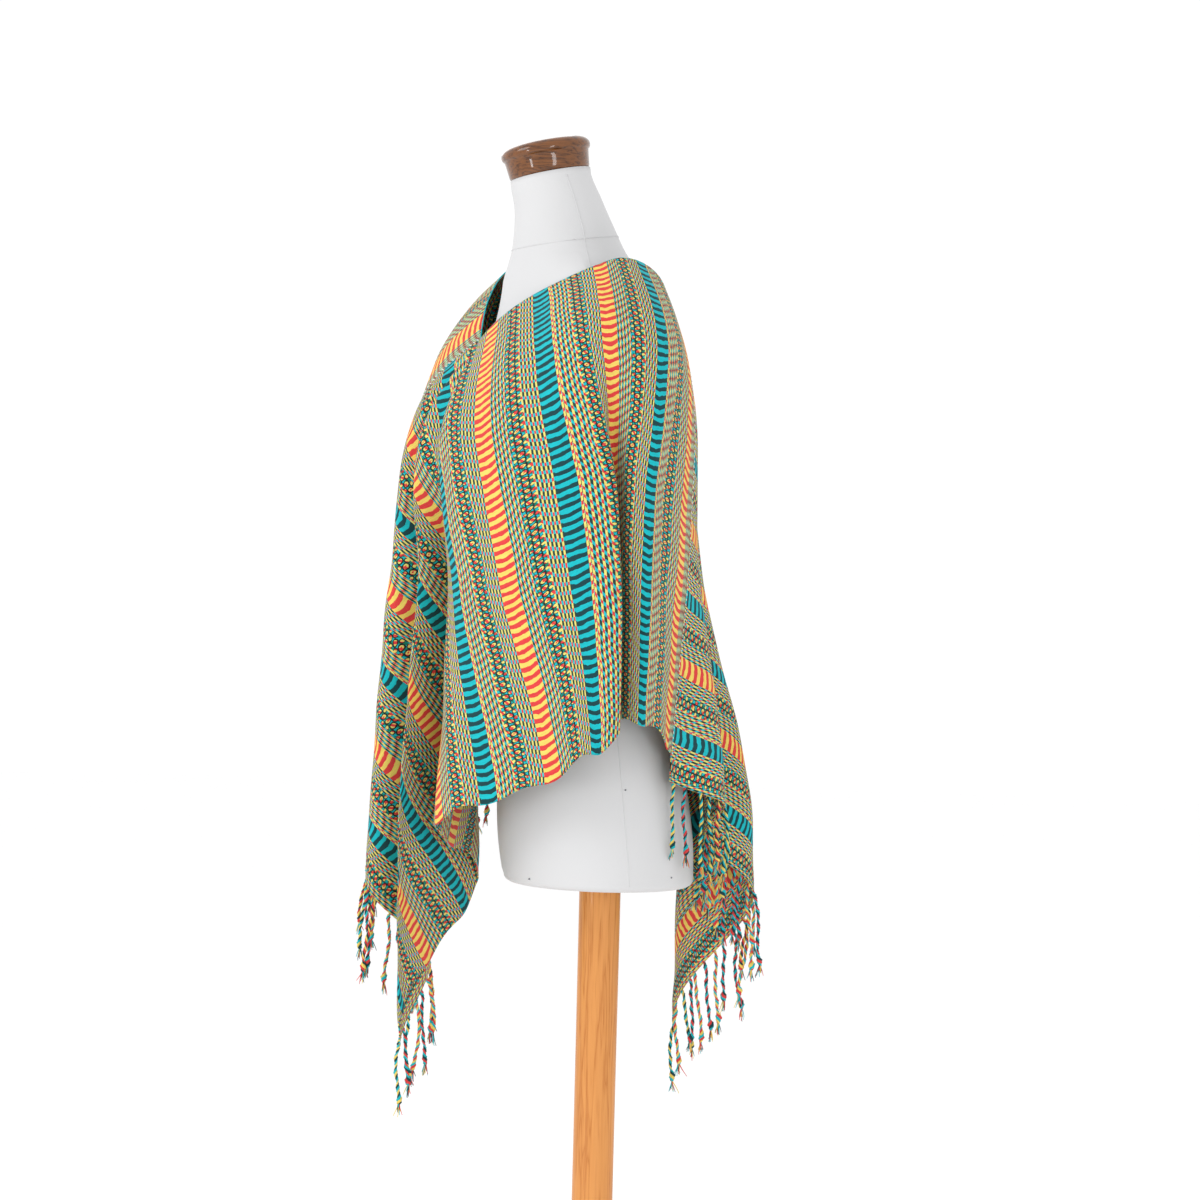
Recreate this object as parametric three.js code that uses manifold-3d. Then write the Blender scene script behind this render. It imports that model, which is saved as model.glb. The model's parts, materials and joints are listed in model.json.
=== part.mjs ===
// A hand-woven poncho of two rectangles, worn by a limbless dress form on a pole.
// Millimetres, +Z up. The wearer faces -Y and the wearer's left is +X.
// The origin is the middle of the stand's underside.
import * as THREE from "three";
import Module from "manifold-3d";
import { mergeVertices } from "three/addons/utils/BufferGeometryUtils.js";

// Cut of the cloth
const WIDTH = 520; // across each woven panel, from the neck edge to the hem edge
const NECK = 350; // length of each side of the neck opening
const FREE_LEFT = 544; // left panel, from the front V to its fringed end
const FREE_RIGHT = 545; // right panel, from the back V to its fringed end
const BIAS_STRETCH = 0.05; // how much longer the loose weave hangs at 45 degrees to its threads
const CLOTH = 2; // thickness of the wall
const SEAM = 0.3; // each edge stands back this far from the seam line
const V_BACKOFF = 0.6; // the corner of a fan stands back this far from the V

// Fringe
const STRANDS = 30; // on each end, less those a fold would crush
const FRONT_CRUSHED = [22]; // strands left out in the hollow of a fold
const BACK_CRUSHED = [9];
const STRIP = 9; // width of the band that the strands grow from
const ROOT_SHARE = 0.6; // where on that band a strand starts
const STRAND_LENGTH = 92;
const STRAND_R = 2.3;

// Dress form and stand
const BASE_R = 175;
const BASE_H = 26;
const BASE_ROUND = 7;
const COLLAR_R = 42;
const COLLAR_H = 20;
const POLE_TOP_R = 22.6;
const POLE_FOOT_R = 22.6;
const TORSO_BOTTOM = 697;
const CLEAR = 0.3; // between pieces that rest on each other
const CAP_TILT = THREE.MathUtils.degToRad(12);
const FORM_SIDES = 44;

// How the cloth hangs. Each station is a line down the cloth from the neck edge. Over a shoulder
// the lines are parallel and "at" is the distance in mm along the neck edge. Below a V they
// fan out and "at" is the angle in degrees from the shoulder's last line.
// neck: where the line starts, as x, y, z. The others are x, y after 110, 280 and 520 mm of cloth,
// and after 772 mm in a fan.
const FRONT_V = [10, -149, 1288];
const BACK_V = [14, 56, 1322];
const LEVELS = [0, 110, 280, 520, 772];
const LEFT_SHOULDER = [
  { at: 0, neck: BACK_V, yoke: [92, 70], waist: [100, 72], hem: [122, 54] },
  { at: 27, neck: [40, 50, 1342], yoke: [114, 62], waist: [124, 60], hem: [142, 46] },
  { at: 101, neck: [104, 10, 1369], yoke: [175, 24], waist: [184, 14], hem: [182, 12] },
  { at: 140, neck: [114, -14, 1371], yoke: [184, -6], waist: [179, -8], hem: [167, -4] },
  { at: 175, neck: [112, -35, 1364], yoke: [186, -34], waist: [157, -20], hem: [127, -13] },
  { at: 220, neck: [95, -68, 1349], yoke: [175, -68], waist: [191, -33], hem: [190, -20] },
  { at: 248, neck: [79, -93, 1336], yoke: [155, -96], waist: [188, -69], hem: [195, -37] },
  { at: 322, neck: [36, -138, 1302], yoke: [98, -154], waist: [140, -132], hem: [168, -78] },
];
const FRONT_FAN = [
  { at: 0, yoke: [70, -174], waist: [114, -151], hem: [147, -99], tip: [152, -97] },
  { at: 13, yoke: [48, -190], waist: [62, -184], hem: [72, -188], tip: [74, -191] },
  { at: 30, yoke: [22, -190], waist: [-10, -152], hem: [-60, -130], tip: [-36, -130] },
  { at: 46, yoke: [2, -208], waist: [10, -212], hem: [10, -224], tip: [15, -218] },
  { at: 54, yoke: [-12, -203], waist: [-28, -190], hem: [-45, -182], tip: [-46, -182] },
  { at: 62.5, yoke: [-20, -212], waist: [-30, -234], hem: [-30, -250], tip: [-34, -256] },
  { at: 69, yoke: [-27, -213], waist: [-62, -232], hem: [-86, -240], tip: [-92, -244] },
  { at: 78, yoke: [-36, -212], waist: [-102, -210], hem: [-132, -190], tip: [-140, -192] },
];
const RIGHT_SHOULDER = [
  { at: 0, neck: FRONT_V, yoke: [-48, -208], waist: [-145, -172], hem: [-166, -110] },
  { at: 60, neck: [-22, -138, 1334], yoke: [-98, -184], waist: [-186, -130], hem: [-206, -72] },
  { at: 110, neck: [-50, -116, 1368], yoke: [-136, -146], waist: [-186, -80], hem: [-166, -45] },
  { at: 170, neck: [-84, -70, 1383], yoke: [-168, -86], waist: [-208, -30], hem: [-210, -10] },
  { at: 230, neck: [-92, -12, 1380], yoke: [-176, -28], waist: [-190, 25], hem: [-166, 15] },
  { at: 290, neck: [-50, 38, 1360], yoke: [-144, 34], waist: [-186, 74], hem: [-206, 40] },
];
const BACK_FAN = [
  { at: 0, yoke: [-92, 74], waist: [-152, 98], hem: [-186, 62], tip: [-186, 62] },
  { at: 12, yoke: [-72, 78], waist: [-132, 110], hem: [-180, 142], tip: [-182, 150] },
  { at: 23, yoke: [-52, 75], waist: [-104, 84], hem: [-150, 77], tip: [-150, 76] },
  { at: 34, yoke: [-30, 79], waist: [-78, 106], hem: [-134, 160], tip: [-142, 170] },
  { at: 46, yoke: [-8, 77], waist: [-44, 88], hem: [-70, 98], tip: [-74, 98] },
  { at: 60, yoke: [22, 79], waist: [4, 104], hem: [12, 162], tip: [14, 170] },
  { at: 72, yoke: [48, 76], waist: [42, 82], hem: [38, 106], tip: [38, 107] },
  { at: 81, yoke: [70, 77], waist: [74, 86], hem: [80, 119], tip: [80, 124] },
];

// The form's level sections: height, front and back of the body, half width, and the power of
// the rounded outline, where 2 is an ellipse and less draws the corners in.
const TORSO = [
  { z: 697, front: -106, back: 101, half: 135, round: 2 },
  { z: 740, front: -113, back: 100, half: 134, round: 2 },
  { z: 800, front: -116, back: 92, half: 128, round: 2 },
  { z: 900, front: -112, back: 72, half: 116, round: 2 },
  { z: 1000, front: -118, back: 60, half: 114, round: 2 },
  { z: 1100, front: -140, back: 56, half: 126, round: 2 },
  { z: 1190, front: -164, back: 56, half: 140, round: 2 },
  { z: 1240, front: -156, back: 54, half: 146, round: 1.9 },
  { z: 1285, front: -138, back: 48, half: 146, round: 1.7 },
  { z: 1315, front: -130, back: 42, half: 140, round: 1.42 },
  { z: 1338, front: -126, back: 37, half: 122, round: 1.27 },
  { z: 1355, front: -124, back: 31, half: 102, round: 1.28 },
  { z: 1370, front: -120, back: 24, half: 80, round: 1.45 },
  { z: 1386, front: -116, back: 12, half: 58, round: 1.8 },
  { z: 1405, front: -114, back: 1, half: 53, round: 2 },
  { z: 1440, front: -114, back: -18, half: 48, round: 2 },
  { z: 1472, front: -119, back: -32, half: 44, round: 2 },
];

// Cubic through points at uneven knots, by finite-difference slopes.
function slopeAt(before, here, after, gapBefore, gapAfter) {
  const left = (here - before) / gapBefore;
  const right = (after - here) / gapAfter;
  return (left * gapAfter + right * gapBefore) / (gapBefore + gapAfter);
}

function hermite(p0, p1, m0, m1, span, f) {
  const f2 = f * f;
  const f3 = f2 * f;
  return (
    (2 * f3 - 3 * f2 + 1) * p0 +
    (f3 - 2 * f2 + f) * span * m0 +
    (3 * f2 - 2 * f3) * p1 +
    (f3 - f2) * span * m1
  );
}

// All stations in one ring: left shoulder, front fan, right shoulder, back fan.
const STATIONS = [
  ...LEFT_SHOULDER.map((s) => ({ ...s, tip: s.hem, fan: false, part: 0 })),
  ...FRONT_FAN.map((s) => ({ ...s, neck: FRONT_V, fan: true, part: 1 })),
  ...RIGHT_SHOULDER.map((s) => ({ ...s, tip: s.hem, fan: false, part: 2 })),
  ...BACK_FAN.map((s) => ({ ...s, neck: BACK_V, fan: true, part: 3 })),
];
const PART_END = [NECK, 90, NECK, 90];

// Cloth width at each level from each station to the next.
function clothGap(station, next, level) {
  const to = next.part === station.part ? next.at : PART_END[station.part];
  const reach = to - station.at;
  return station.fan ? THREE.MathUtils.degToRad(reach) * Math.max(level, 40) : reach;
}

// Plan position of a line at one of the levels; line = { part, at }.
function planAtLevel(line, levelIndex) {
  const level = LEVELS[levelIndex];
  const column = ["neck", "yoke", "waist", "hem", "tip"][levelIndex];
  const count = STATIONS.length;
  let k = 0;
  STATIONS.forEach((s, i) => {
    if (s.part === line.part && s.at <= line.at + 1e-9) k = i;
  });
  const at = (i) => STATIONS[(i + count) % count];
  const [s0, s1, s2, s3] = [at(k - 1), at(k), at(k + 1), at(k + 2)];
  const [g0, g1, g2] = [clothGap(s0, s1, level), clothGap(s1, s2, level), clothGap(s2, s3, level)];
  const to = s2.part === s1.part ? s2.at : PART_END[s1.part];
  const f = (line.at - s1.at) / (to - s1.at);
  const size = levelIndex === 0 ? 3 : 2;
  const out = [];
  for (let c = 0; c < size; c += 1) {
    const [p0, p1, p2, p3] = [s0, s1, s2, s3].map((s) => s[column][c]);
    const m1 = slopeAt(p0, p1, p2, g0, g1);
    const m2 = slopeAt(p1, p2, p3, g1, g2);
    out.push(hermite(p1, p2, m1, m2, g1, f));
  }
  return out;
}

// One line down the cloth: plan positions by a curve through the levels, and heights from the
// rule that the cloth doesn't stretch along the line.
const STEP = 10;
const STEEPEST = 0.93; // the most that a line moves sideways per mm of cloth
const lineCache = new Map();

function lineOf(part, at) {
  const key = `${part}:${at.toFixed(4)}`;
  if (lineCache.has(key)) return lineCache.get(key);
  const marks = LEVELS.map((_, i) => planAtLevel({ part, at }, i));
  const plan = (r) => {
    const i = Math.min(LEVELS.length - 2, LEVELS.findLastIndex((v) => v <= r));
    const span = LEVELS[i + 1] - LEVELS[i];
    const f = Math.min(1.4, (r - LEVELS[i]) / span);
    return [0, 1].map((c) => {
      const slope = (j) => {
        if (j === 0) return ((marks[1][c] - marks[0][c]) / LEVELS[1]) * 1.12;
        if (j === LEVELS.length - 1) {
          return (marks[j][c] - marks[j - 1][c]) / (LEVELS[j] - LEVELS[j - 1]);
        }
        const [a, b] = [LEVELS[j] - LEVELS[j - 1], LEVELS[j + 1] - LEVELS[j]];
        return slopeAt(marks[j - 1][c], marks[j][c], marks[j + 1][c], a, b);
      };
      return hermite(marks[i][c], marks[i + 1][c], slope(i), slope(i + 1), span, f);
    });
  };
  const points = [];
  let z = marks[0][2];
  const bias = part % 2 === 1 ? Math.sin(THREE.MathUtils.degToRad(2 * at)) ** 2 : 0;
  const drop = STEP * (1 + BIAS_STRETCH * bias);
  let before = plan(0);
  points.push([before[0], before[1], z]);
  for (let r = STEP; r <= 860; r += STEP) {
    const now = plan(r);
    const side = Math.min(STEEPEST, Math.hypot(now[0] - before[0], now[1] - before[1]) / STEP);
    z -= drop * Math.sqrt(1 - side * side);
    points.push([now[0], now[1], z]);
    before = now;
  }
  lineCache.set(key, points);
  return points;
}

function clothPoint(part, at, r) {
  const points = lineOf(part, at);
  const i = Math.min(points.length - 2, Math.floor(r / STEP));
  const f = r / STEP - i;
  const [a, b] = [points[i], points[i + 1]];
  return new THREE.Vector3(
    a[0] + (b[0] - a[0]) * f,
    a[1] + (b[1] - a[1]) * f,
    a[2] + (b[2] - a[2]) * f,
  );
}

// A step along the girth, past the end of a part where needed.
function beside(part, at, r, mm) {
  const turn = (p, width) => (p % 2 === 1 ? THREE.MathUtils.radToDeg(width / Math.max(r, 20)) : width);
  const next = at + turn(part, mm);
  if (next > PART_END[part]) {
    const after = (part + 1) % 4;
    return clothPoint(after, turn(after, mm / 2), r);
  }
  if (next < 0) {
    const before = (part + 3) % 4;
    return clothPoint(before, PART_END[before] + turn(before, mm / 2), r);
  }
  return clothPoint(part, next, r);
}

function clothNormal(part, at, r) {
  const along = beside(part, at, Math.max(r, 20), 3).sub(beside(part, at, Math.max(r, 20), -3));
  const down = clothPoint(part, at, r + 6).sub(clothPoint(part, at, Math.max(r - 6, 0)));
  return down.cross(along).normalize();
}

// A closed wall from a sheet of points: its two faces and the edge round it.
function wall(points, normals, triangles, thickness) {
  const count = points.length;
  const position = [];
  for (const side of [0.5, -0.5]) {
    points.forEach((p, i) => {
      const q = p.clone().addScaledVector(normals[i], side * thickness);
      position.push(q.x, q.y, q.z);
    });
  }
  const index = [];
  const edges = new Map();
  for (const [a, b, c] of triangles) {
    index.push(a, b, c, a + count, c + count, b + count);
    for (const [p, q] of [[a, b], [b, c], [c, a]]) {
      const back = `${q},${p}`;
      if (edges.has(back)) edges.delete(back);
      else edges.set(`${p},${q}`, [p, q]);
    }
  }
  // Both sides of a seam split their twisted edge faces along the same diagonal.
  for (const [p, q] of edges.values()) {
    if (points[p].z > points[q].z) index.push(p, p + count, q, q, p + count, q + count);
    else index.push(p, p + count, q + count, p, q + count, q);
  }
  const geometry = new THREE.BufferGeometry();
  geometry.setAttribute("position", new THREE.Float32BufferAttribute(position, 3));
  geometry.setIndex(index);
  return geometry;
}

// Lines of a panel: the shoulder strip first, then the fan below its V.
const COLUMN = 18; // cloth width between lines at the hem
function columnsOf(firstPart) {
  const columns = [];
  const parts = [firstPart, firstPart + 1];
  for (const part of parts) {
    const own = STATIONS.filter((s) => s.part === part);
    own.forEach((s, i) => {
      const to = i + 1 < own.length ? own[i + 1].at : PART_END[part];
      const width = clothGap(s, own[i + 1] ?? { part: -1 }, WIDTH);
      const steps = Math.max(2, Math.round(width / COLUMN));
      for (let n = 0; n < steps; n += 1) columns.push({ part, at: s.at + ((to - s.at) * n) / steps });
    });
  }
  columns.push({ part: firstPart + 1, at: 90 });
  return columns;
}

// Distance from the V to the panel's edge along a fan line.
function fanReach(at, free) {
  const angle = THREE.MathUtils.degToRad(at);
  return Math.min(WIDTH / Math.cos(angle), free / Math.max(Math.sin(angle), 1e-9));
}

const ROWS = 16;
const FAN_ROWS = 4;

function panelSheet(firstPart, free) {
  const columns = columnsOf(firstPart);
  const points = [];
  const normals = [];
  const ids = columns.map(() => []);
  const add = (part, at, r) => {
    points.push(clothPoint(part, at, r));
    normals.push(clothNormal(part, at, r));
    return points.length - 1;
  };
  let corner = -1;
  columns.forEach(({ part, at }, i) => {
    const fan = part === firstPart + 1;
    const reach = fan ? fanReach(at, free) : WIDTH;
    for (let j = 0; j <= ROWS + FAN_ROWS; j += 1) {
      const r = j <= ROWS ? (WIDTH * j) / ROWS : WIDTH + ((reach - WIDTH) * (j - ROWS)) / FAN_ROWS;
      if (fan && j === 0) {
        if (corner < 0) corner = add(part, 20, V_BACKOFF);
        ids[i].push(corner);
      } else if (j > ROWS && reach - WIDTH < 0.5) {
        ids[i].push(ids[i][ROWS]);
      } else {
        let place = at;
        if (i === 0) place = SEAM;
        if (i === columns.length - 1) place = at - THREE.MathUtils.radToDeg(SEAM / r);
        ids[i].push(add(part, place, r));
      }
    }
  });
  const triangles = [];
  const push = (a, b, c) => {
    if (a !== b && b !== c && c !== a) triangles.push([a, b, c]);
  };
  for (let i = 0; i + 1 < columns.length; i += 1) {
    for (let j = 0; j < ROWS + FAN_ROWS; j += 1) {
      const [a, b, c, d] = [ids[i][j], ids[i][j + 1], ids[i + 1][j + 1], ids[i + 1][j]];
      push(a, b, c);
      push(a, c, d);
    }
  }
  return wall(points, normals, triangles, CLOTH);
}

// The band past a free end, which the strands grow from.
function fringeStrip(firstPart, free) {
  const part = firstPart + 1;
  const corner = THREE.MathUtils.radToDeg(Math.atan2(free, WIDTH));
  const angles = columnsOf(firstPart)
    .filter((c) => c.part === part && c.at > corner)
    .map((c) => c.at);
  angles.unshift(corner);
  const points = [];
  const normals = [];
  const triangles = [];
  const middle = [];
  angles.forEach((angle, i) => {
    const radians = THREE.MathUtils.degToRad(angle);
    const across = Math.max(0.3, free / Math.tan(radians));
    for (const out of [CLEAR, STRIP]) {
      const r = (free + out) / Math.sin(radians);
      const at = Math.min(angle, 90 - THREE.MathUtils.radToDeg(SEAM / r));
      points.push(clothPoint(part, at, r));
      normals.push(clothNormal(part, at, r));
    }
    middle.push({ across, point: points.at(-2).clone().lerp(points.at(-1), ROOT_SHARE) });
    if (i > 0) {
      const n = 2 * i;
      triangles.push([n - 2, n - 1, n + 1], [n - 2, n + 1, n]);
    }
  });
  return { band: wall(points, normals, triangles, CLOTH), middle };
}

// One strand: a tapering four-sided cord with a knot near its end, hanging from the band.
const STRAND_RINGS = [
  { down: -3, radius: 0.9 },
  { down: 38, radius: 1 },
  { down: 74, radius: 1 },
  { down: 80, radius: 1.75 },
  { down: 92, radius: 1.4 },
];
const STRAND_SIDES = 4;

function strand(root, seed) {
  const points = [];
  const index = [];
  const length = 1 + 0.09 * Math.sin(seed * 2.3) + 0.05 * Math.sin(seed * 5.1);
  STRAND_RINGS.forEach(({ down, radius }, j) => {
    const sway = Math.max(0, down) / STRAND_LENGTH;
    const x = root.x + 2.2 * sway * Math.sin(seed * 1.7 + down / 30);
    const y = root.y + 2.6 * sway * Math.cos(seed * 2.9 + down / 26);
    const z = root.z - (down > 0 ? down * length : down);
    for (let s = 0; s < STRAND_SIDES; s += 1) {
      const angle = (s / STRAND_SIDES) * 2 * Math.PI + Math.PI / 4;
      points.push(x + STRAND_R * radius * Math.cos(angle));
      points.push(y + STRAND_R * radius * Math.sin(angle), z);
    }
    if (j === 0) return;
    for (let s = 0; s < STRAND_SIDES; s += 1) {
      const [a, b] = [(j - 1) * STRAND_SIDES + s, (j - 1) * STRAND_SIDES + ((s + 1) % STRAND_SIDES)];
      const [c, d] = [b + STRAND_SIDES, a + STRAND_SIDES];
      index.push(a, c, b, a, d, c);
    }
  });
  const last = (STRAND_RINGS.length - 1) * STRAND_SIDES;
  index.push(0, 1, 2, 0, 2, 3, last, last + 2, last + 1, last, last + 3, last + 2);
  const geometry = new THREE.BufferGeometry();
  geometry.setAttribute("position", new THREE.Float32BufferAttribute(points, 3));
  geometry.setIndex(index);
  return geometry;
}

const wasm = await Module();
wasm.setup();

function solid(geometry) {
  const bare = geometry.clone();
  bare.deleteAttribute("normal");
  bare.deleteAttribute("uv");
  const merged = mergeVertices(bare, 1e-3);
  return new wasm.Manifold(
    new wasm.Mesh({
      numProp: 3,
      vertProperties: new Float32Array(merged.attributes.position.array),
      triVerts: new Uint32Array(merged.index.array),
    }),
  );
}

function geometryOf(manifold) {
  const mesh = manifold.getMesh();
  const geometry = new THREE.BufferGeometry();
  geometry.setAttribute("position", new THREE.BufferAttribute(mesh.vertProperties, 3));
  geometry.setIndex(new THREE.BufferAttribute(mesh.triVerts, 1));
  return geometry;
}

function fringe(firstPart, free, crushed) {
  const { band, middle } = fringeStrip(firstPart, free);
  let body = solid(band);
  for (let n = 0; n < STRANDS; n += 1) {
    if (crushed.includes(n)) continue;
    const across = (WIDTH * (n + 0.5)) / STRANDS;
    const i = middle.findIndex((m, k) => k > 0 && m.across <= across);
    const [a, b] = [middle[i - 1], middle[i]];
    const root = a.point.clone().lerp(b.point, (a.across - across) / (a.across - b.across));
    body = body.add(solid(strand(root, n + 40 * firstPart)));
  }
  return geometryOf(body);
}

// Rings of points, bottom to top, as one closed body.
function loft(rings) {
  const sides = rings[0].length;
  const position = rings.flat().flatMap((p) => p.toArray());
  const index = [];
  for (let j = 0; j + 1 < rings.length; j += 1) {
    for (let s = 0; s < sides; s += 1) {
      const [a, b] = [j * sides + s, j * sides + ((s + 1) % sides)];
      index.push(a, b, b + sides, a, b + sides, a + sides);
    }
  }
  for (const [ring, up] of [[0, false], [rings.length - 1, true]]) {
    const middle = rings[ring].reduce((sum, p) => sum.add(p), new THREE.Vector3());
    middle.divideScalar(sides);
    const centre = position.length / 3;
    position.push(...middle.toArray());
    for (let s = 0; s < sides; s += 1) {
      const [a, b] = [ring * sides + s, ring * sides + ((s + 1) % sides)];
      index.push(centre, up ? a : b, up ? b : a);
    }
  }
  const geometry = new THREE.BufferGeometry();
  geometry.setAttribute("position", new THREE.Float32BufferAttribute(position, 3));
  geometry.setIndex(index);
  return geometry;
}

const TORSO_STEPS = 1;
const CAP_SEAT = { y: -76, z: 1472.2 };

function torsoSection(z) {
  const last = TORSO.length - 1;
  const i = Math.min(last - 1, Math.max(0, TORSO.findLastIndex((s) => s.z <= z)));
  const pick = (n) => TORSO[Math.min(last, Math.max(0, n))];
  const [s0, s1, s2, s3] = [pick(i - 1), pick(i), pick(i + 1), pick(i + 2)];
  const span = s2.z - s1.z;
  const f = (z - s1.z) / span;
  return ["front", "back", "half", "round"].map((key) => {
    const m1 = slopeAt(s0[key], s1[key], s2[key], Math.max(1, s1.z - s0.z), span);
    const m2 = slopeAt(s1[key], s2[key], s3[key], span, Math.max(1, s3.z - s2.z));
    return hermite(s1[key], s2[key], i === 0 ? (s2[key] - s1[key]) / span : m1, m2, span, f);
  });
}

function torsoRing(z, tilt) {
  const [front, back, half, round] = torsoSection(z);
  const middle = (front + back) / 2;
  const deep = (back - front) / 2;
  const bend = (v) => Math.sign(v) * Math.abs(v) ** (2 / round);
  return Array.from({ length: FORM_SIDES }, (_, s) => {
    const angle = (s / FORM_SIDES) * 2 * Math.PI;
    const y = middle + deep * bend(Math.sin(angle));
    return new THREE.Vector3(half * bend(Math.cos(angle)), y, z + tilt * (y - middle));
  });
}

function torso() {
  const rings = [];
  const lowest = torsoRing(TORSO[0].z, 0);
  rings.push(lowest.map((p) => new THREE.Vector3(p.x * 0.96, p.y * 0.96, p.z)));
  rings.push(torsoRing(TORSO[0].z + 5, 0));
  for (let i = 1; i < TORSO.length; i += 1) {
    for (let n = 1; n <= TORSO_STEPS; n += 1) {
      const z = TORSO[i - 1].z + ((TORSO[i].z - TORSO[i - 1].z) * n) / TORSO_STEPS;
      if (z < TORSO[0].z + 12) continue;
      const lean = Math.max(0, (z - 1400) / (TORSO.at(-1).z - 1400)) * Math.tan(CAP_TILT);
      rings.push(torsoRing(z, lean));
    }
  }
  return loft(rings);
}

function turned(profile, sides) {
  return new THREE.LatheGeometry(
    profile.map(([r, z]) => new THREE.Vector2(r, z)),
    sides,
  ).rotateX(Math.PI / 2);
}

function neckCap() {
  const profile = [
    [0, 0], [43, 0], [44.6, 2], [46.5, 20], [48.6, 22], [49.4, 25.5], [48.2, 30], [44, 33.5],
    [30, 35.6], [0, 36.4],
  ];
  const cap = turned(profile, 40);
  cap.rotateX(CAP_TILT);
  cap.translate(0, CAP_SEAT.y, CAP_SEAT.z);
  return cap;
}

function standBase() {
  const bend = 0.7 * BASE_ROUND;
  return turned(
    [
      [0, 0], [BASE_R - 3, 0], [BASE_R, 3], [BASE_R, BASE_H - BASE_ROUND],
      [BASE_R - BASE_ROUND + bend, BASE_H - BASE_ROUND + bend], [BASE_R - BASE_ROUND, BASE_H],
      [COLLAR_R + 6, BASE_H], [COLLAR_R, BASE_H + 5], [COLLAR_R, BASE_H + COLLAR_H - 4],
      [COLLAR_R - 4, BASE_H + COLLAR_H], [0, BASE_H + COLLAR_H],
    ],
    44,
  );
}

function standPole() {
  const foot = BASE_H + COLLAR_H + CLEAR;
  const top = TORSO_BOTTOM - CLEAR;
  return turned([[0, foot], [POLE_FOOT_R, foot], [POLE_TOP_R, top], [0, top]], 40);
}

const cloth = (color) => new THREE.MeshStandardMaterial({ color, roughness: 0.75, metalness: 0 });
const wood = (color, roughness) => new THREE.MeshStandardMaterial({ color, roughness, metalness: 0 });

const poncho = new THREE.Group();
function addPiece(name, geometry, material) {
  const mesh = new THREE.Mesh(geometry, material);
  mesh.name = name;
  poncho.add(mesh);
}

addPiece("panel_left", panelSheet(0, FREE_LEFT), cloth(0x9a9a5c));
addPiece("panel_right", panelSheet(2, FREE_RIGHT), cloth(0x6f9a86));
addPiece("fringe_front", fringe(0, FREE_LEFT, FRONT_CRUSHED), cloth(0xc9a04e));
addPiece("fringe_back", fringe(2, FREE_RIGHT, BACK_CRUSHED), cloth(0xc9a04e));
addPiece("torso_form", torso(), cloth(0xe6e5e3));
addPiece("neck_cap", neckCap(), wood(0x4a2216, 0.15));
addPiece("stand_pole", standPole(), wood(0xc88f52, 0.5));
addPiece("stand_base", standBase(), wood(0xc88f52, 0.5));

export default poncho;
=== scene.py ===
"""A hand-woven striped poncho with fringed ends, worn by a limbless dress form on a pole stand."""

import json
import logging
import math
from dataclasses import dataclass, field
from enum import Enum
from functools import partialmethod
from typing import Iterable, Sequence

import bpy
import numpy as np
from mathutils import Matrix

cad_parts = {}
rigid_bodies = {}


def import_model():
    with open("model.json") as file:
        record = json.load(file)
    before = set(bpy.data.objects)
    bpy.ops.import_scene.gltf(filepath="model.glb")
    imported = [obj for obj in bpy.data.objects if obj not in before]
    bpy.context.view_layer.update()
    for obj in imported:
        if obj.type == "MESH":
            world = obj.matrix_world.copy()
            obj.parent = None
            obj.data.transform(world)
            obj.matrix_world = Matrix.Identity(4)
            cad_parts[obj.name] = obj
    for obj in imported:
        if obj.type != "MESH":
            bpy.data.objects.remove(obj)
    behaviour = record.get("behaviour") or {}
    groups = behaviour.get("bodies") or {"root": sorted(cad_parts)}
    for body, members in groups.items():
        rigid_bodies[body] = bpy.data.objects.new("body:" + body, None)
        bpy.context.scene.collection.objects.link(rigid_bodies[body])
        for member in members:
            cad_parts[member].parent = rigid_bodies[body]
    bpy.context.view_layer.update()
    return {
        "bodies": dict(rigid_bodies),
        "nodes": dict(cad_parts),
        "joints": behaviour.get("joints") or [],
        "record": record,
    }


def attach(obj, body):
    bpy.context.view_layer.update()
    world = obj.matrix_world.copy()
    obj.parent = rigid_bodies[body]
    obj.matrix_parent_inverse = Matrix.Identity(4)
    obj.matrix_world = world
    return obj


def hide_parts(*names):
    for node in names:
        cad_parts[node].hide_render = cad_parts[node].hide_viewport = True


LOG = logging.getLogger("poncho")
MM = 0.001
RNG_SEED = 11
Value = float | np.ndarray

# Cut of the cloth, in mm
WIDTH = 520.0  # across each panel, from the neck edge to the hem edge
NECK = 350.0  # each side of the neck opening
FREE_LEFT = 544.0  # left panel, front V to fringed end
FREE_RIGHT = 545.0  # right panel, back V to fringed end
BIAS_STRETCH = 0.05
SEAM_GAP = 0.3
CLOTH = 1.3
STRANDS = 30
LEVELS = (0.0, 110.0, 280.0, 520.0, 772.0)
PART_END = (NECK, 90.0, NECK, 90.0)

# Weave, in mm along the panel
HALF_REPEAT = 73.7
FIRST_BAND = 16.7  # near edge of the left panel's first orange band
ROW_PAIR = 9.1
EYE_STEP = 6.5

FRONT_V = (10, -149, 1288)
BACK_V = (14, 56, 1322)

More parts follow.
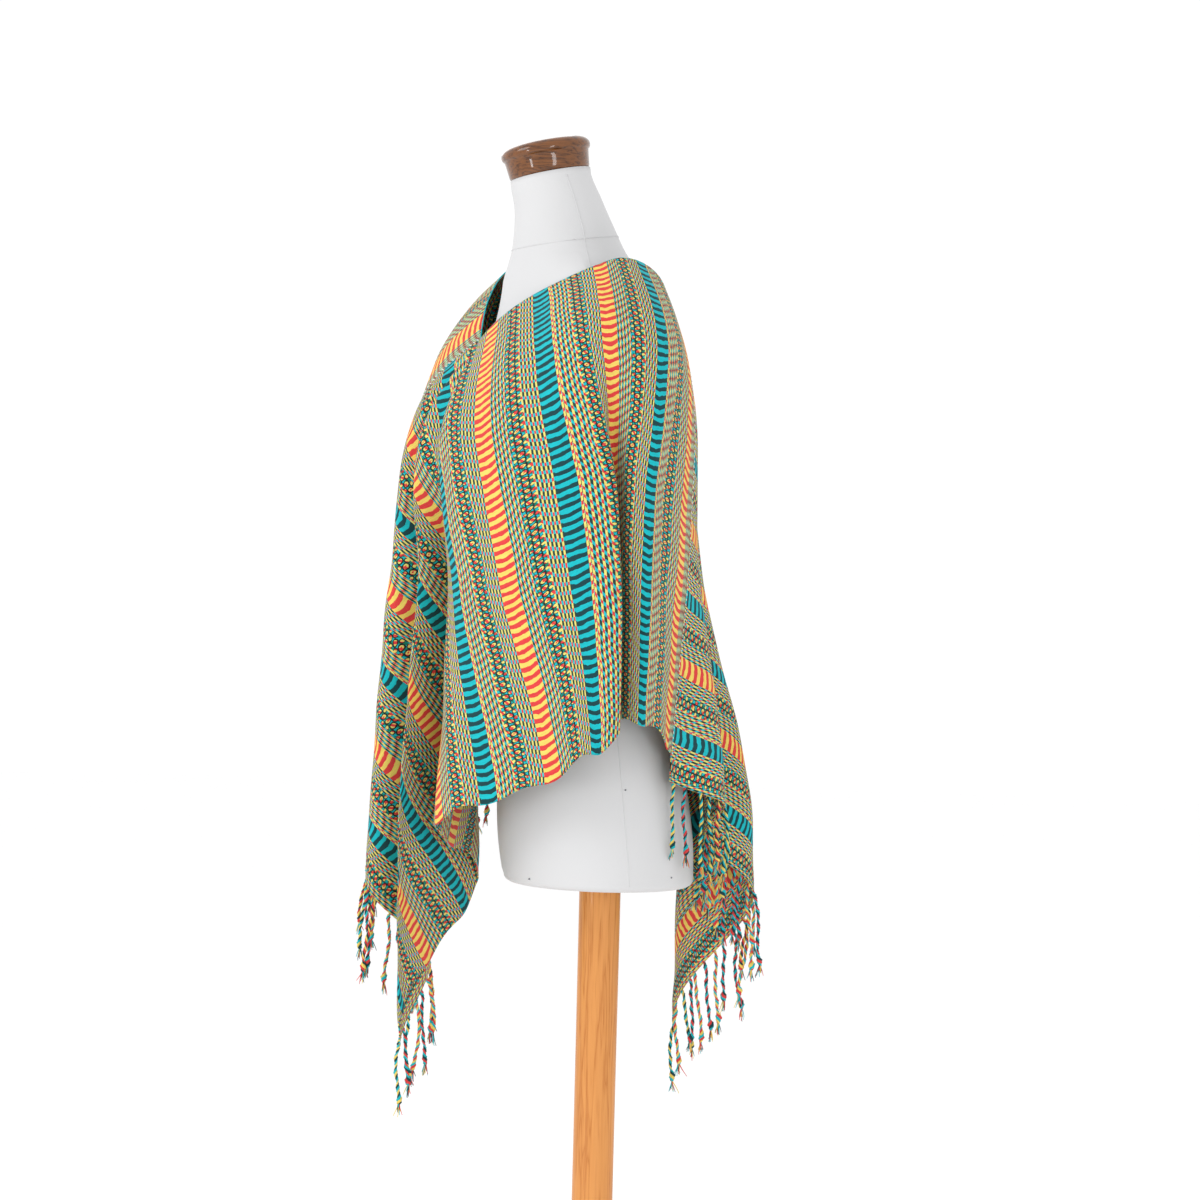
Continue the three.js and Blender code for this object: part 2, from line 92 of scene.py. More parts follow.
# Columns: at, neck, yoke, waist, hem. Plan places of a line down the cloth at each level.
LEFT_SHOULDER = (
    (0, BACK_V, (92, 70), (100, 72), (122, 54)),
    (27, (40, 50, 1342), (114, 62), (124, 60), (142, 46)),
    (101, (104, 10, 1369), (175, 24), (184, 14), (182, 12)),
    (140, (114, -14, 1371), (184, -6), (179, -8), (167, -4)),
    (175, (112, -35, 1364), (186, -34), (157, -20), (127, -13)),
    (220, (95, -68, 1349), (175, -68), (191, -33), (190, -20)),
    (248, (79, -93, 1336), (155, -96), (188, -69), (195, -37)),
    (322, (36, -138, 1302), (98, -154), (140, -132), (168, -78)),
)
RIGHT_SHOULDER = (
    (0, FRONT_V, (-48, -208), (-145, -172), (-166, -110)),
    (60, (-22, -138, 1334), (-98, -184), (-186, -130), (-206, -72)),
    (110, (-50, -116, 1368), (-136, -146), (-186, -80), (-166, -45)),
    (170, (-84, -70, 1383), (-168, -86), (-208, -30), (-210, -10)),
    (230, (-92, -12, 1380), (-176, -28), (-190, 25), (-166, 15)),
    (290, (-50, 38, 1360), (-144, 34), (-186, 74), (-206, 40)),
)
# Columns: angle from the shoulder's last line, yoke, waist, hem, tip.
FRONT_FAN = (
    (0, (70, -174), (114, -151), (147, -99), (152, -97)),
    (13, (48, -190), (62, -184), (72, -188), (74, -191)),
    (30, (22, -190), (-10, -152), (-60, -130), (-36, -130)),
    (46, (2, -208), (10, -212), (10, -224), (15, -218)),
    (54, (-12, -203), (-28, -190), (-45, -182), (-46, -182)),
    (62.5, (-20, -212), (-30, -234), (-30, -250), (-34, -256)),
    (69, (-27, -213), (-62, -232), (-86, -240), (-92, -244)),
    (78, (-36, -212), (-102, -210), (-132, -190), (-140, -192)),
)
BACK_FAN = (
    (0, (-92, 74), (-152, 98), (-186, 62), (-186, 62)),
    (12, (-72, 78), (-132, 110), (-180, 142), (-182, 150)),
    (23, (-52, 75), (-104, 84), (-150, 77), (-150, 76)),
    (34, (-30, 79), (-78, 106), (-134, 160), (-142, 170)),
    (46, (-8, 77), (-44, 88), (-70, 98), (-74, 98)),
    (60, (22, 79), (4, 104), (12, 162), (14, 170)),
    (72, (48, 76), (42, 82), (38, 106), (38, 107)),
    (81, (70, 77), (74, 86), (80, 119), (80, 124)),
)

# The form's level sections: height, front, back, half width, power of the rounded outline.
TORSO = (
    (697, -106, 101, 135, 2.0),
    (740, -113, 100, 134, 2.0),
    (800, -116, 92, 128, 2.0),
    (900, -112, 72, 116, 2.0),
    (1000, -118, 60, 114, 2.0),
    (1100, -140, 56, 126, 2.0),
    (1190, -164, 56, 140, 2.0),
    (1240, -156, 54, 146, 1.9),
    (1285, -138, 48, 146, 1.7),
    (1315, -130, 42, 140, 1.42),
    (1338, -126, 37, 122, 1.27),
    (1355, -124, 31, 102, 1.28),
    (1370, -120, 24, 80, 1.45),
    (1386, -116, 12, 58, 1.8),
    (1405, -114, 1, 53, 2.0),
    (1440, -114, -18, 48, 2.0),
    (1472, -119, -32, 44, 2.0),
)
# Pins in the cover: angle from the wearer's left in degrees, height.
PINS = ((10.0, 806.0), (38.0, 712.0), (305.0, 706.0), (60.0, 1000.0))
# Turned profiles: radius, height.
CAP_PROFILE = (
    *((0, 0), (20, 0), (42.6, 0), (43.6, 0.5), (44.4, 2), (45.2, 8), (46, 15), (46.6, 19.6)),
    *((47.2, 20.6), (48.2, 21.4), (49.1, 23), (49.5, 25.5), (49.1, 28), (48, 30), (46.2, 31.8)),
    *((44, 33.2), (40, 34.5), (30, 35.6), (16, 36.2), (4, 36.4), (0, 36.4)),
)
COLLAR_PROFILE = (
    *((100, 0), (50, 0), (46, 1), (43, 4), (42, 8), (42, 15), (41, 18)),
    *((38, 20), (23, 20), (0, 20)),
)
CAP_TILT = math.radians(12)
CAP_SEAT_Y = -76.0
CAP_SEAT_Z = 1472.2
TORSO_BOTTOM = 697.0
POLE_R = 22.6
BASE_R = 175.0
BASE_H = 26.0

# The camera stands at the wearer's left, slightly in front, and leans a little.
CAMERA_TURN = math.radians(81.5)
CAMERA_ROLL = math.radians(1.48)


class Yarn(Enum):
    """The four yarn colours of the weave, as sRGB bytes."""

    TEAL = (8, 194, 204)
    DARK = (10, 66, 72)
    YELLOW = (250, 220, 106)
    CORAL = (230, 64, 64)


class Extra(Enum):
    """Other colours, as sRGB bytes."""

    GREEN = (0, 132, 104)
    PALE_YELLOW = (240, 228, 122)
    DEEP_GREEN = (30, 66, 62)
    INK = (16, 28, 32)
    COVER = (204, 204, 205)
    DARK_WOOD = (126, 76, 34)
    DARK_GRAIN = (34, 12, 6)
    HONEY = (216, 150, 84)
    HONEY_GRAIN = (176, 106, 50)
    STEEL = (110, 112, 116)
    FLOOR = (255, 255, 255)


def linear(color: Enum) -> tuple[float, float, float, float]:
    """A named colour as linear RGBA.

    Args:
        color: A member whose value is three sRGB bytes.

    Returns:
        Linear red, green, blue and an alpha of 1.
    """
    parts = [c / 255 for c in color.value]
    r, g, b = (c / 12.92 if c <= 0.04045 else ((c + 0.055) / 1.055) ** 2.4 for c in parts)
    return (r, g, b, 1.0)


# Drape


@dataclass(frozen=True)
class Station:
    """One line down the cloth, with its place in the ring of parts."""

    part: int
    at: float
    marks: tuple[tuple[float, ...], ...]


def make_stations() -> list[Station]:
    """All stations in one ring: left shoulder, front fan, right shoulder, back fan.

    Returns:
        The stations in order round the wearer.
    """
    ring: list[Station] = []
    for part, rows in enumerate((LEFT_SHOULDER, FRONT_FAN, RIGHT_SHOULDER, BACK_FAN)):
        for row in rows:
            if part % 2 == 0:
                at, neck, yoke, waist, hem = row
                marks = (neck, yoke, waist, hem, hem)
            else:
                at, yoke, waist, hem, tip = row
                marks = (FRONT_V if part == 1 else BACK_V, yoke, waist, hem, tip)
            ring.append(Station(part, float(at), tuple((*m, 0.0)[:3] for m in marks)))
    return ring


def slope_at(before: Value, here: Value, after: Value, gap_before: Value, gap_after: Value) -> Value:
    """Finite-difference slope at the middle of three uneven knots.

    Args:
        before: Value at the knot before.
        here: Value at the knot.
        after: Value at the knot after.
        gap_before: Distance to the knot before.
        gap_after: Distance to the knot after.

    Returns:
        The slope.
    """
    left = (here - before) / gap_before
    right = (after - here) / gap_after
    return (left * gap_after + right * gap_before) / (gap_before + gap_after)


def hermite(p0: Value, p1: Value, m0: Value, m1: Value, span: Value, f: Value) -> Value:
    """Cubic between two values with given slopes.

    Args:
        p0: Value at the start.
        p1: Value at the end.
        m0: Slope at the start.
        m1: Slope at the end.
        span: Length of the stretch.
        f: Share of the way along, which may pass 1.

    Returns:
        The value at f.
    """
    f2 = f * f
    f3 = f2 * f
    return (
        (2 * f3 - 3 * f2 + 1) * p0
        + (f3 - 2 * f2 + f) * span * m0
        + (3 * f2 - 2 * f3) * p1
        + (f3 - f2) * span * m1
    )


class Drape:
    """The hung cloth as tables of lines, one table for each part of the ring."""

    STEP = 5.0
    REACH = 860.0
    STEEPEST = 0.93

    def __init__(self) -> None:
        """Works out every line once."""
        self.stations = make_stations()
        self.tables: list[tuple[np.ndarray, np.ndarray]] = []
        for part in range(4):
            count = 701 if part % 2 == 0 else 721
            ats = np.linspace(0.0, PART_END[part], count)
            self.tables.append((ats, self._lines(part, ats)))

    def _gap(self, i: int, level: float) -> float:
        """Cloth width from station i to the next one at a level.

        Args:
            i: Index of the station.
            level: Distance from the neck edge, in mm.

        Returns:
            The width in mm.
        """
        here = self.stations[i]
        after = self.stations[(i + 1) % len(self.stations)]
        end = after.at if after.part == here.part else PART_END[here.part]
        reach = end - here.at
        return math.radians(reach) * max(level, 40.0) if here.part % 2 else reach

    def _marks(self, part: int, ats: np.ndarray, level: int) -> np.ndarray:
        """Places of many lines at one level.

        Args:
            part: Part of the ring.
            ats: Where the lines are in it.
            level: Index of the level.

        Returns:
            An array of x, y, z for each line.
        """
        n = len(self.stations)
        own = [i for i, s in enumerate(self.stations) if s.part == part]
        starts = np.array([self.stations[i].at for i in own])
        ends = np.append(starts[1:], PART_END[part])
        local = np.clip(np.searchsorted(starts, ats + 1e-9, side="right") - 1, 0, len(own) - 1)
        k = own[0] + local
        values = np.array([s.marks[level] for s in self.stations])
        gaps = np.array([self._gap(i, LEVELS[level]) for i in range(n)])
        p0, p1, p2, p3 = (values[(k + d) % n] for d in (-1, 0, 1, 2))
        g0, g1, g2 = (gaps[(k + d) % n][:, None] for d in (-1, 0, 1))
        f = ((ats - starts[local]) / (ends[local] - starts[local]))[:, None]
        m1 = slope_at(p0, p1, p2, g0, g1)
        m2 = slope_at(p1, p2, p3, g1, g2)
        return hermite(p1, p2, m1, m2, g1, f)

    def _lines(self, part: int, ats: np.ndarray) -> np.ndarray:
        """Points down many lines, with heights from cloth that keeps its length.

        Args:
            part: Part of the ring.
            ats: Where the lines are in it.

        Returns:
            An array of lines by steps by x, y, z.
        """
        marks = np.stack([self._marks(part, ats, i) for i in range(len(LEVELS))], axis=1)
        plan_marks = marks[:, :, :2]
        last = len(LEVELS) - 1
        slopes = np.empty_like(plan_marks)
        slopes[:, 0] = (plan_marks[:, 1] - plan_marks[:, 0]) / LEVELS[1] * 1.12
        slopes[:, last] = (plan_marks[:, last] - plan_marks[:, last - 1]) / (LEVELS[-1] - LEVELS[-2])
        for j in range(1, last):
            slopes[:, j] = slope_at(
                plan_marks[:, j - 1],
                plan_marks[:, j],
                plan_marks[:, j + 1],
                LEVELS[j] - LEVELS[j - 1],
                LEVELS[j + 1] - LEVELS[j],
            )
        steps = np.arange(0.0, self.REACH + self.STEP, self.STEP)
        plan = np.empty((len(ats), len(steps), 2))
        for n, r in enumerate(steps):
            i = min(last - 1, int(np.searchsorted(LEVELS, r, side="right")) - 1)
            span = LEVELS[i + 1] - LEVELS[i]
            f = min(1.4, (r - LEVELS[i]) / span)
            plan[:, n] = hermite(
                plan_marks[:, i], plan_marks[:, i + 1], slopes[:, i], slopes[:, i + 1], span, f
            )
        bias = np.sin(np.radians(2 * ats)) ** 2 if part % 2 else np.zeros(len(ats))
        drop = self.STEP * (1 + BIAS_STRETCH * bias)
        side = np.minimum(self.STEEPEST, np.linalg.norm(np.diff(plan, axis=1), axis=2) / self.STEP)
        fall = np.cumsum(drop[:, None] * np.sqrt(1 - side**2), axis=1)
        z = marks[:, 0, 2][:, None] - np.concatenate([np.zeros((len(ats), 1)), fall], axis=1)
        return np.concatenate([plan, z[:, :, None]], axis=2)

    def point(self, part: int, at: np.ndarray, r: np.ndarray) -> np.ndarray:
        """Points of the cloth.

        Args:
            part: Part of the ring.
            at: Line of each point.
            r: Distance of each point from the neck edge or the V.

        Returns:
            An array with x, y, z in mm last.
        """
        ats, table = self.tables[part]
        u = np.clip(at / PART_END[part], 0, 1) * (len(ats) - 1)
        v = np.clip(r / self.STEP, 0, table.shape[1] - 1.001)
        i = np.minimum(u.astype(int), len(ats) - 2)
        j = v.astype(int)
        fu = (u - i)[..., None]
        fv = (v - j)[..., None]
        near = table[i, j] * (1 - fu) + table[i + 1, j] * fu
        far = table[i, j + 1] * (1 - fu) + table[i + 1, j + 1] * fu
        return near * (1 - fv) + far * fv

    def panel_point(self, first_part: int, along: np.ndarray, across: np.ndarray) -> np.ndarray:
        """Points of a panel from its flat places.

        Args:
            first_part: The panel's shoulder part, 0 or 2.
            along: Distance from the panel's seamed end, in mm.
            across: Distance from its neck edge, in mm.

        Returns:
            An array with x, y, z in mm last.
        """
        past = along - NECK
        r = np.hypot(np.maximum(past, 0), across)
        limit = 90 - np.degrees(SEAM_GAP / np.maximum(r, 1.0))
        angle = np.minimum(np.degrees(np.arctan2(np.maximum(past, 0), np.maximum(across, 1e-6))), limit)
        on_fan = self.point(first_part + 1, np.maximum(angle, 0), np.maximum(r, 0.6))
        on_strip = self.point(first_part, np.clip(along, SEAM_GAP, NECK), across)
        return np.where((past > 0)[..., None], on_fan, on_strip)


@dataclass(frozen=True)
class Crease:
    """A soft trough or ridge between two flat places of a panel, in mm."""

    start: tuple[float, float]
    end: tuple[float, float]
    half_width: float
    height: float
    drop: float = 0.0

    def profile(self, along: np.ndarray, across: np.ndarray) -> np.ndarray:
        """How much of the crease's height and drop the cloth takes.

        Args:
            along: Flat places along the panel.
            across: Flat places across it.

        Returns:
            A share from 0 to 1.
        """
        a = np.array(self.start)
        d = np.array(self.end) - a
        length = float(np.hypot(*d))
        px, py = along - a[0], across - a[1]
        t = np.clip((px * d[0] + py * d[1]) / length**2, 0, 1)
        bow = 0.04 * length * np.sin(math.pi * t)
        away = (px * d[1] - py * d[0]) / length - bow
        ahead = px * d[0] + py * d[1]
        over = np.maximum(0, np.maximum(-ahead, ahead - length**2)) / length
        fade = np.sin(math.pi * np.clip(t, 0.02, 0.98)) ** 0.8
        return fade * np.exp(-((away / self.half_width) ** 2) - (over / 12) ** 2)


LEFT_CREASES = (
    Crease((190, 110), (198, 800), 14, 7.5),
    Crease((164, 120), (168, 800), 10, -5.5),
    Crease((216, 330), (222, 760), 20, 1.5, 12.0),
    Crease((176, 330), (174, 760), 13, 0.0, -10.0),
    Crease((128, 100), (120, 420), 12, 3.2),
    Crease((262, 150), (250, 505), 15, -2.6),
    Crease((300, 40), (316, 250), 12, 2.0),
    Crease((330, 230), (300, 515), 17, 3.0),
    Crease((352, 90), (420, 330), 14, -3.4),
    Crease((372, 60), (500, 250), 12, 2.6),
    Crease((380, 250), (470, 505), 20, -3.2),
    Crease((430, 120), (610, 240), 14, -2.4),
    Crease((470, 330), (640, 500), 18, 3.0),
    Crease((600, 60), (820, 180), 16, -2.2),
    Crease((640, 250), (860, 400), 20, 2.6),
    Crease((60, 130), (52, 420), 13, -2.4),
    Crease((95, 200), (88, 500), 14, 2.2),
    Crease((20, 60), (30, 280), 11, 1.8),
)
RIGHT_CREASES = (
    Crease((40, 90), (70, 380), 13, -2.8),
    Crease((92, 160), (100, 480), 15, 2.4),
    Crease((140, 90), (160, 360), 12, -2.4),
    Crease((205, 140), (190, 470), 14, 2.8),
    Crease((262, 90), (270, 330), 13, -2.6),
    Crease((318, 180), (330, 500), 17, 2.4),
    Crease((360, 80), (470, 300), 14, -3.0),
    Crease((400, 300), (520, 500), 19, 2.8),
    Crease((430, 100), (640, 260), 13, 2.2),
    Crease((560, 230), (760, 420), 18, -2.8),
    Crease((620, 60), (850, 170), 15, 2.4),
    Crease((700, 330), (870, 470), 16, -2.2),
)


# Mesh helpers


def new_object(name: str, verts: np.ndarray, faces: Sequence[Sequence[int]]) -> bpy.types.Object:
    """A linked mesh object with smooth faces.

    Args:
        name: Name of the piece.
        verts: Vertices in mm.
        faces: Vertex indices of each face.

    Returns:
        The object.
    """
    mesh = bpy.data.meshes.new(name)
    mesh.from_pydata((np.asarray(verts) * MM).tolist(), [], [list(map(int, f)) for f in faces])
    mesh.polygons.foreach_set("use_smooth", [True] * len(mesh.polygons))
    mesh.update()
    obj = bpy.data.objects.new(name, mesh)
    bpy.context.scene.collection.objects.link(obj)
    return obj


def add_curves(name: str, lines: Iterable[np.ndarray], radii: Iterable[np.ndarray]) -> bpy.types.Object:
    """A linked curve object of poly splines.

    Args:
        name: Name of the curve.
        lines: Points of each spline, in mm.
        radii: Radius at each point, in mm.

    Returns:
        The object.
    """
    data = bpy.data.curves.new(name, "CURVE")
    data.dimensions = "3D"
    for line, radius in zip(lines, radii):
        spline = data.splines.new("POLY")
        spline.points.add(len(line) - 1)
        flat = np.concatenate([line * MM, np.ones((len(line), 1))], axis=1)
        spline.points.foreach_set("co", flat.ravel())
        spline.points.foreach_set("radius", np.asarray(radius) * MM)
    obj = bpy.data.objects.new(name, data)
    bpy.context.scene.collection.objects.link(obj)
    return obj


def wire(tree: bpy.types.NodeTree, rows: Iterable[tuple]) -> None:
    """Links nodes of a group.

    Args:
        tree: The group.
        rows: From node, output, to node and input of each link.
    """
    for start, output, end, entry in rows:
        tree.links.new(start.outputs[output], end.inputs[entry])


def finish_group(tree: bpy.types.NodeTree, last: bpy.types.Node, output: str) -> None:
    """Ends a geometry group: smooth shading, real instances and the material.

    Args:
        tree: The group.
        last: The node whose geometry goes out.
        output: Name of its output.
    """
    enter = next(n for n in tree.nodes if n.bl_idname == "NodeGroupInput")
    kinds = ("GeometryNodeSetShadeSmooth", "GeometryNodeRealizeInstances", "GeometryNodeSetMaterial")
    smooth, realize, paint, leave = (tree.nodes.new(kind) for kind in (*kinds, "NodeGroupOutput"))
    wire(
        tree,
        (
            (last, output, smooth, "Geometry"),
            (smooth, "Geometry", realize, "Geometry"),
            (realize, "Geometry", paint, "Geometry"),
            (enter, "Material", paint, "Material"),
            (paint, "Geometry", leave, "Mesh"),
        ),
    )


def tube_group() -> bpy.types.NodeTree:
    """A geometry group that turns a curve into round yarn.

    Returns:
        The group, with named inputs.
    """
    tree = bpy.data.node_groups.new("Yarn Tube", "GeometryNodeTree")
    face = tree.interface
    face.new_socket("Curve", in_out="INPUT", socket_type="NodeSocketGeometry")
    face.new_socket("Sides", in_out="INPUT", socket_type="NodeSocketInt").default_value = 6
    face.new_socket("Material", in_out="INPUT", socket_type="NodeSocketMaterial")
    face.new_socket("Mesh", in_out="OUTPUT", socket_type="NodeSocketGeometry")
    nodes = tree.nodes
    enter = nodes.new("NodeGroupInput")
    circle = nodes.new("GeometryNodeCurvePrimitiveCircle")
    circle.inputs["Radius"].default_value = 1.0
    sweep = nodes.new("GeometryNodeCurveToMesh")
    sweep.inputs["Fill Caps"].default_value = True
    radius = nodes.new("GeometryNodeInputRadius")
    wire(
        tree,
        (
            (enter, "Sides", circle, "Resolution"),
            (enter, "Curve", sweep, "Curve"),
            (circle, "Curve", sweep, "Profile Curve"),
        ),
    )
    if "Scale" in sweep.inputs:
        wire(tree, ((radius, "Radius", sweep, "Scale"),))
    finish_group(tree, sweep, "Mesh")
    return tree


def stitch_group() -> bpy.types.NodeTree:
    """A geometry group that sets stitches along a curve.

    Returns:
        The group, with named inputs.
    """
    tree = bpy.data.node_groups.new("Stitch Row", "GeometryNodeTree")
    face = tree.interface
    face.new_socket("Curve", in_out="INPUT", socket_type="NodeSocketGeometry")
    face.new_socket("Spacing", in_out="INPUT", socket_type="NodeSocketFloat").default_value = 0.006
    face.new_socket("Length", in_out="INPUT", socket_type="NodeSocketFloat").default_value = 0.0036
    face.new_socket("Thickness", in_out="INPUT", socket_type="NodeSocketFloat").default_value = 0.0008
    face.new_socket("Turn", in_out="INPUT", socket_type="NodeSocketFloat").default_value = 0.6
    face.new_socket("Seed", in_out="INPUT", socket_type="NodeSocketInt").default_value = RNG_SEED
    face.new_socket("Material", in_out="INPUT", socket_type="NodeSocketMaterial")
    face.new_socket("Mesh", in_out="OUTPUT", socket_type="NodeSocketGeometry")
    nodes = tree.nodes
    enter = nodes.new("NodeGroupInput")
    points = nodes.new("GeometryNodeCurveToPoints")
    points.mode = "LENGTH"
    ball = nodes.new("GeometryNodeMeshUVSphere")
    for entry, value in (("Segments", 8), ("Rings", 6), ("Radius", 0.5)):
        ball.inputs[entry].default_value = value
    size = nodes.new("ShaderNodeCombineXYZ")
    place = nodes.new("GeometryNodeInstanceOnPoints")
    wobble = nodes.new("FunctionNodeRandomValue")
    wobble.data_type = "FLOAT"
    wobble.inputs[2].default_value = -0.18
    wobble.inputs[3].default_value = 0.18
    total = nodes.new("ShaderNodeMath")
    turn = nodes.new("ShaderNodeCombineXYZ")
    spin = nodes.new("GeometryNodeRotateInstances")
    wire(
        tree,
        (
            (enter, "Curve", points, "Curve"),
            (enter, "Spacing", points, "Length"),
            (points, "Points", place, "Points"),
            (ball, "Mesh", place, "Instance"),
            (points, "Rotation", place, "Rotation"),
            (enter, "Thickness", size, "X"),
            (enter, "Thickness", size, "Y"),
            (enter, "Length", size, "Z"),
            (size, "Vector", place, "Scale"),
            (enter, "Seed", wobble, "Seed"),
            (wobble, 1, total, 0),
            (enter, "Turn", total, 1),
            (total, 0, turn, "X"),
            (place, "Instances", spin, "Instances"),
            (turn, "Vector", spin, "Rotation"),
        ),
    )
    finish_group(tree, spin, "Instances")
    return tree


def grown(curve: bpy.types.Object, group: bpy.types.NodeTree, values: dict[str, object]) -> bpy.types.Mesh:
    """The plain mesh that a geometry group makes of a curve; the curve is removed.

    Args:
        curve: The curve object.
        group: The geometry group.
        values: Its inputs by name.

    Returns:
        The mesh.
    """
    modifier = curve.modifiers.new("Grow", "NODES")
    modifier.node_group = group
    for item in group.interface.items_tree:
        if item.item_type == "SOCKET" and item.in_out == "INPUT" and item.name in values:
            modifier[item.identifier] = values[item.name]
    bpy.context.view_layer.update()
    graph = bpy.context.evaluated_depsgraph_get()
    mesh = bpy.data.meshes.new_from_object(curve.evaluated_get(graph))
    bpy.data.objects.remove(curve)
    return mesh


def joined(name: str, meshes: Sequence[bpy.types.Mesh]) -> bpy.types.Object:
    """One object from several meshes that each have one material.

    Args:
        name: Name of the piece.
        meshes: The meshes.

    Returns:
        The object.
    """
    verts: list[np.ndarray] = []
    faces: list[list[int]] = []
    slots: list[int] = []
    shift = 0
    for n, mesh in enumerate(meshes):
        co = np.empty(len(mesh.vertices) * 3)
        mesh.vertices.foreach_get("co", co)
        verts.append(co.reshape(-1, 3) / MM)
        faces.extend([v + shift for v in p.vertices] for p in mesh.polygons)
        slots.extend([n] * len(mesh.polygons))
        shift += len(mesh.vertices)
    obj = new_object(name, np.concatenate(verts), faces)
    for mesh in meshes:
        obj.data.materials.append(mesh.materials[0])
    obj.data.polygons.foreach_set("material_index", slots)
    for mesh in meshes:
        bpy.data.meshes.remove(mesh)
    return obj


def lathe(profile: Sequence[tuple[float, float]], sides: int) -> tuple[np.ndarray, list[list[int]]]:
    """A closed body turned round Z.

    Args:
        profile: Radius and height from the bottom's middle to the top's middle, in mm.
        sides: Number of sides.

    Returns:
        Vertices in mm and faces.
    """
    rings = [(r, z) for r, z in profile if r > 0]
    angles = np.linspace(0, 2 * math.pi, sides, endpoint=False)
    verts = np.concatenate(
        [np.stack([r * np.cos(angles), r * np.sin(angles), np.full(sides, z)], axis=1) for r, z in rings]
    )
    return verts, ring_faces(len(rings), sides)


def ring_faces(rings: int, sides: int) -> list[list[int]]:
    """Faces of a closed loft with flat ends.

    Args:
        rings: Number of rings, bottom to top.
        sides: Points in each ring.

    Returns:
        Faces that look out.
    """
    faces = [
        [j * sides + s, j * sides + (s + 1) % sides, (j + 1) * sides + (s + 1) % sides, (j + 1) * sides + s]
        for j in range(rings - 1)
        for s in range(sides)
    ]
    faces.append(list(range(sides))[::-1])
    faces.append([(rings - 1) * sides + s for s in range(sides)])
    return faces


# Materials


class Graph:
    """A thin writer for shader nodes, with short names for the common sums."""

    def __init__(self, tree: bpy.types.NodeTree) -> None:
        """Keeps the tree that it writes to.

        Args:
            tree: A material's or group's node tree.
        """
        self.tree = tree

    def put(self, kind: str, **settings: object) -> bpy.types.Node:
        """A new node with its settings.

        Args:
            kind: The node's type.
            settings: Attributes to set on it.

        Returns:
            The node.
        """
        node = self.tree.nodes.new(kind)
        for key, value in settings.items():
            setattr(node, key, value)
        return node

    def feed(self, socket: bpy.types.NodeSocket, value: object) -> None:
        """Links or sets a socket.

        Args:
            socket: The input.
            value: A socket to link or a constant to set.
        """
        if isinstance(value, bpy.types.NodeSocket):
            self.tree.links.new(value, socket)
        else:
            socket.default_value = value

    def math(self, operation: str, a: object, b: object = 0.0, c: object = 0.0) -> bpy.types.NodeSocket:
        """A math node's result.

        Args:
            operation: Its operation.
            a: First input.
            b: Second input.
            c: Third input.

        Returns:
            Its output.
        """
        node = self.put("ShaderNodeMath", operation=operation)
        for socket, value in zip(node.inputs, (a, b, c)):
            self.feed(socket, value)
        return node.outputs[0]

    add = partialmethod(math, "ADD")
    sub = partialmethod(math, "SUBTRACT")
    mul = partialmethod(math, "MULTIPLY")
    div = partialmethod(math, "DIVIDE")
    madd = partialmethod(math, "MULTIPLY_ADD")
    less = partialmethod(math, "LESS_THAN")
    more = partialmethod(math, "GREATER_THAN")
    mag = partialmethod(math, "ABSOLUTE")
    fract = partialmethod(math, "FRACT")

    def mix(self, share: object, a: object, b: object) -> bpy.types.NodeSocket:
        """A colour between two.

        Args:
            share: 0 for the first colour, 1 for the second.
            a: First colour.
            b: Second colour.

        Returns:
            The mixed colour.
        """
        node = self.put("ShaderNodeMix", data_type="RGBA")
        self.feed(node.inputs[0], share)
        self.feed(node.inputs[6], a)
        self.feed(node.inputs[7], b)
        return node.outputs[2]

    def noise(self, vector: object, scale: float, detail: float = 2.0) -> bpy.types.NodeSocket:
        """Noise from 0 to 1.

        Args:
            vector: Where it is read.
            scale: Its scale per metre.
            detail: Its octaves.

        Returns:
            The noise value.
        """
        node = self.put("ShaderNodeTexNoise")
        self.feed(node.inputs["Vector"], vector)
        self.feed(node.inputs["Scale"], scale)
        self.feed(node.inputs["Detail"], detail)
        return node.outputs[0]

    def oval(
        self, across: bpy.types.NodeSocket, along: bpy.types.NodeSocket, wide: float, tall: float
    ) -> bpy.types.NodeSocket:
        """Distance from an oval's middle, 1 on its edge.

        Args:
            across: Distance across from the middle.
            along: Distance along from the middle.
            wide: Half the oval's width.
            tall: Half its height.

        Returns:
            The distance socket.
        """
        a = self.div(across, wide)
        b = self.div(along, tall)
        return self.math("SQRT", self.add(self.mul(a, a), self.mul(b, b)))

    def stretched(self, vector: object, scale: tuple[float, float, float]) -> bpy.types.NodeSocket:
        """A vector scaled on each axis.

        Args:
            vector: The vector.
            scale: Factor on each axis.

        Returns:
            The scaled vector.
        """
        node = self.put("ShaderNodeVectorMath", operation="MULTIPLY")
        self.feed(node.inputs[0], vector)
        self.feed(node.inputs[1], scale)
        return node.outputs[0]


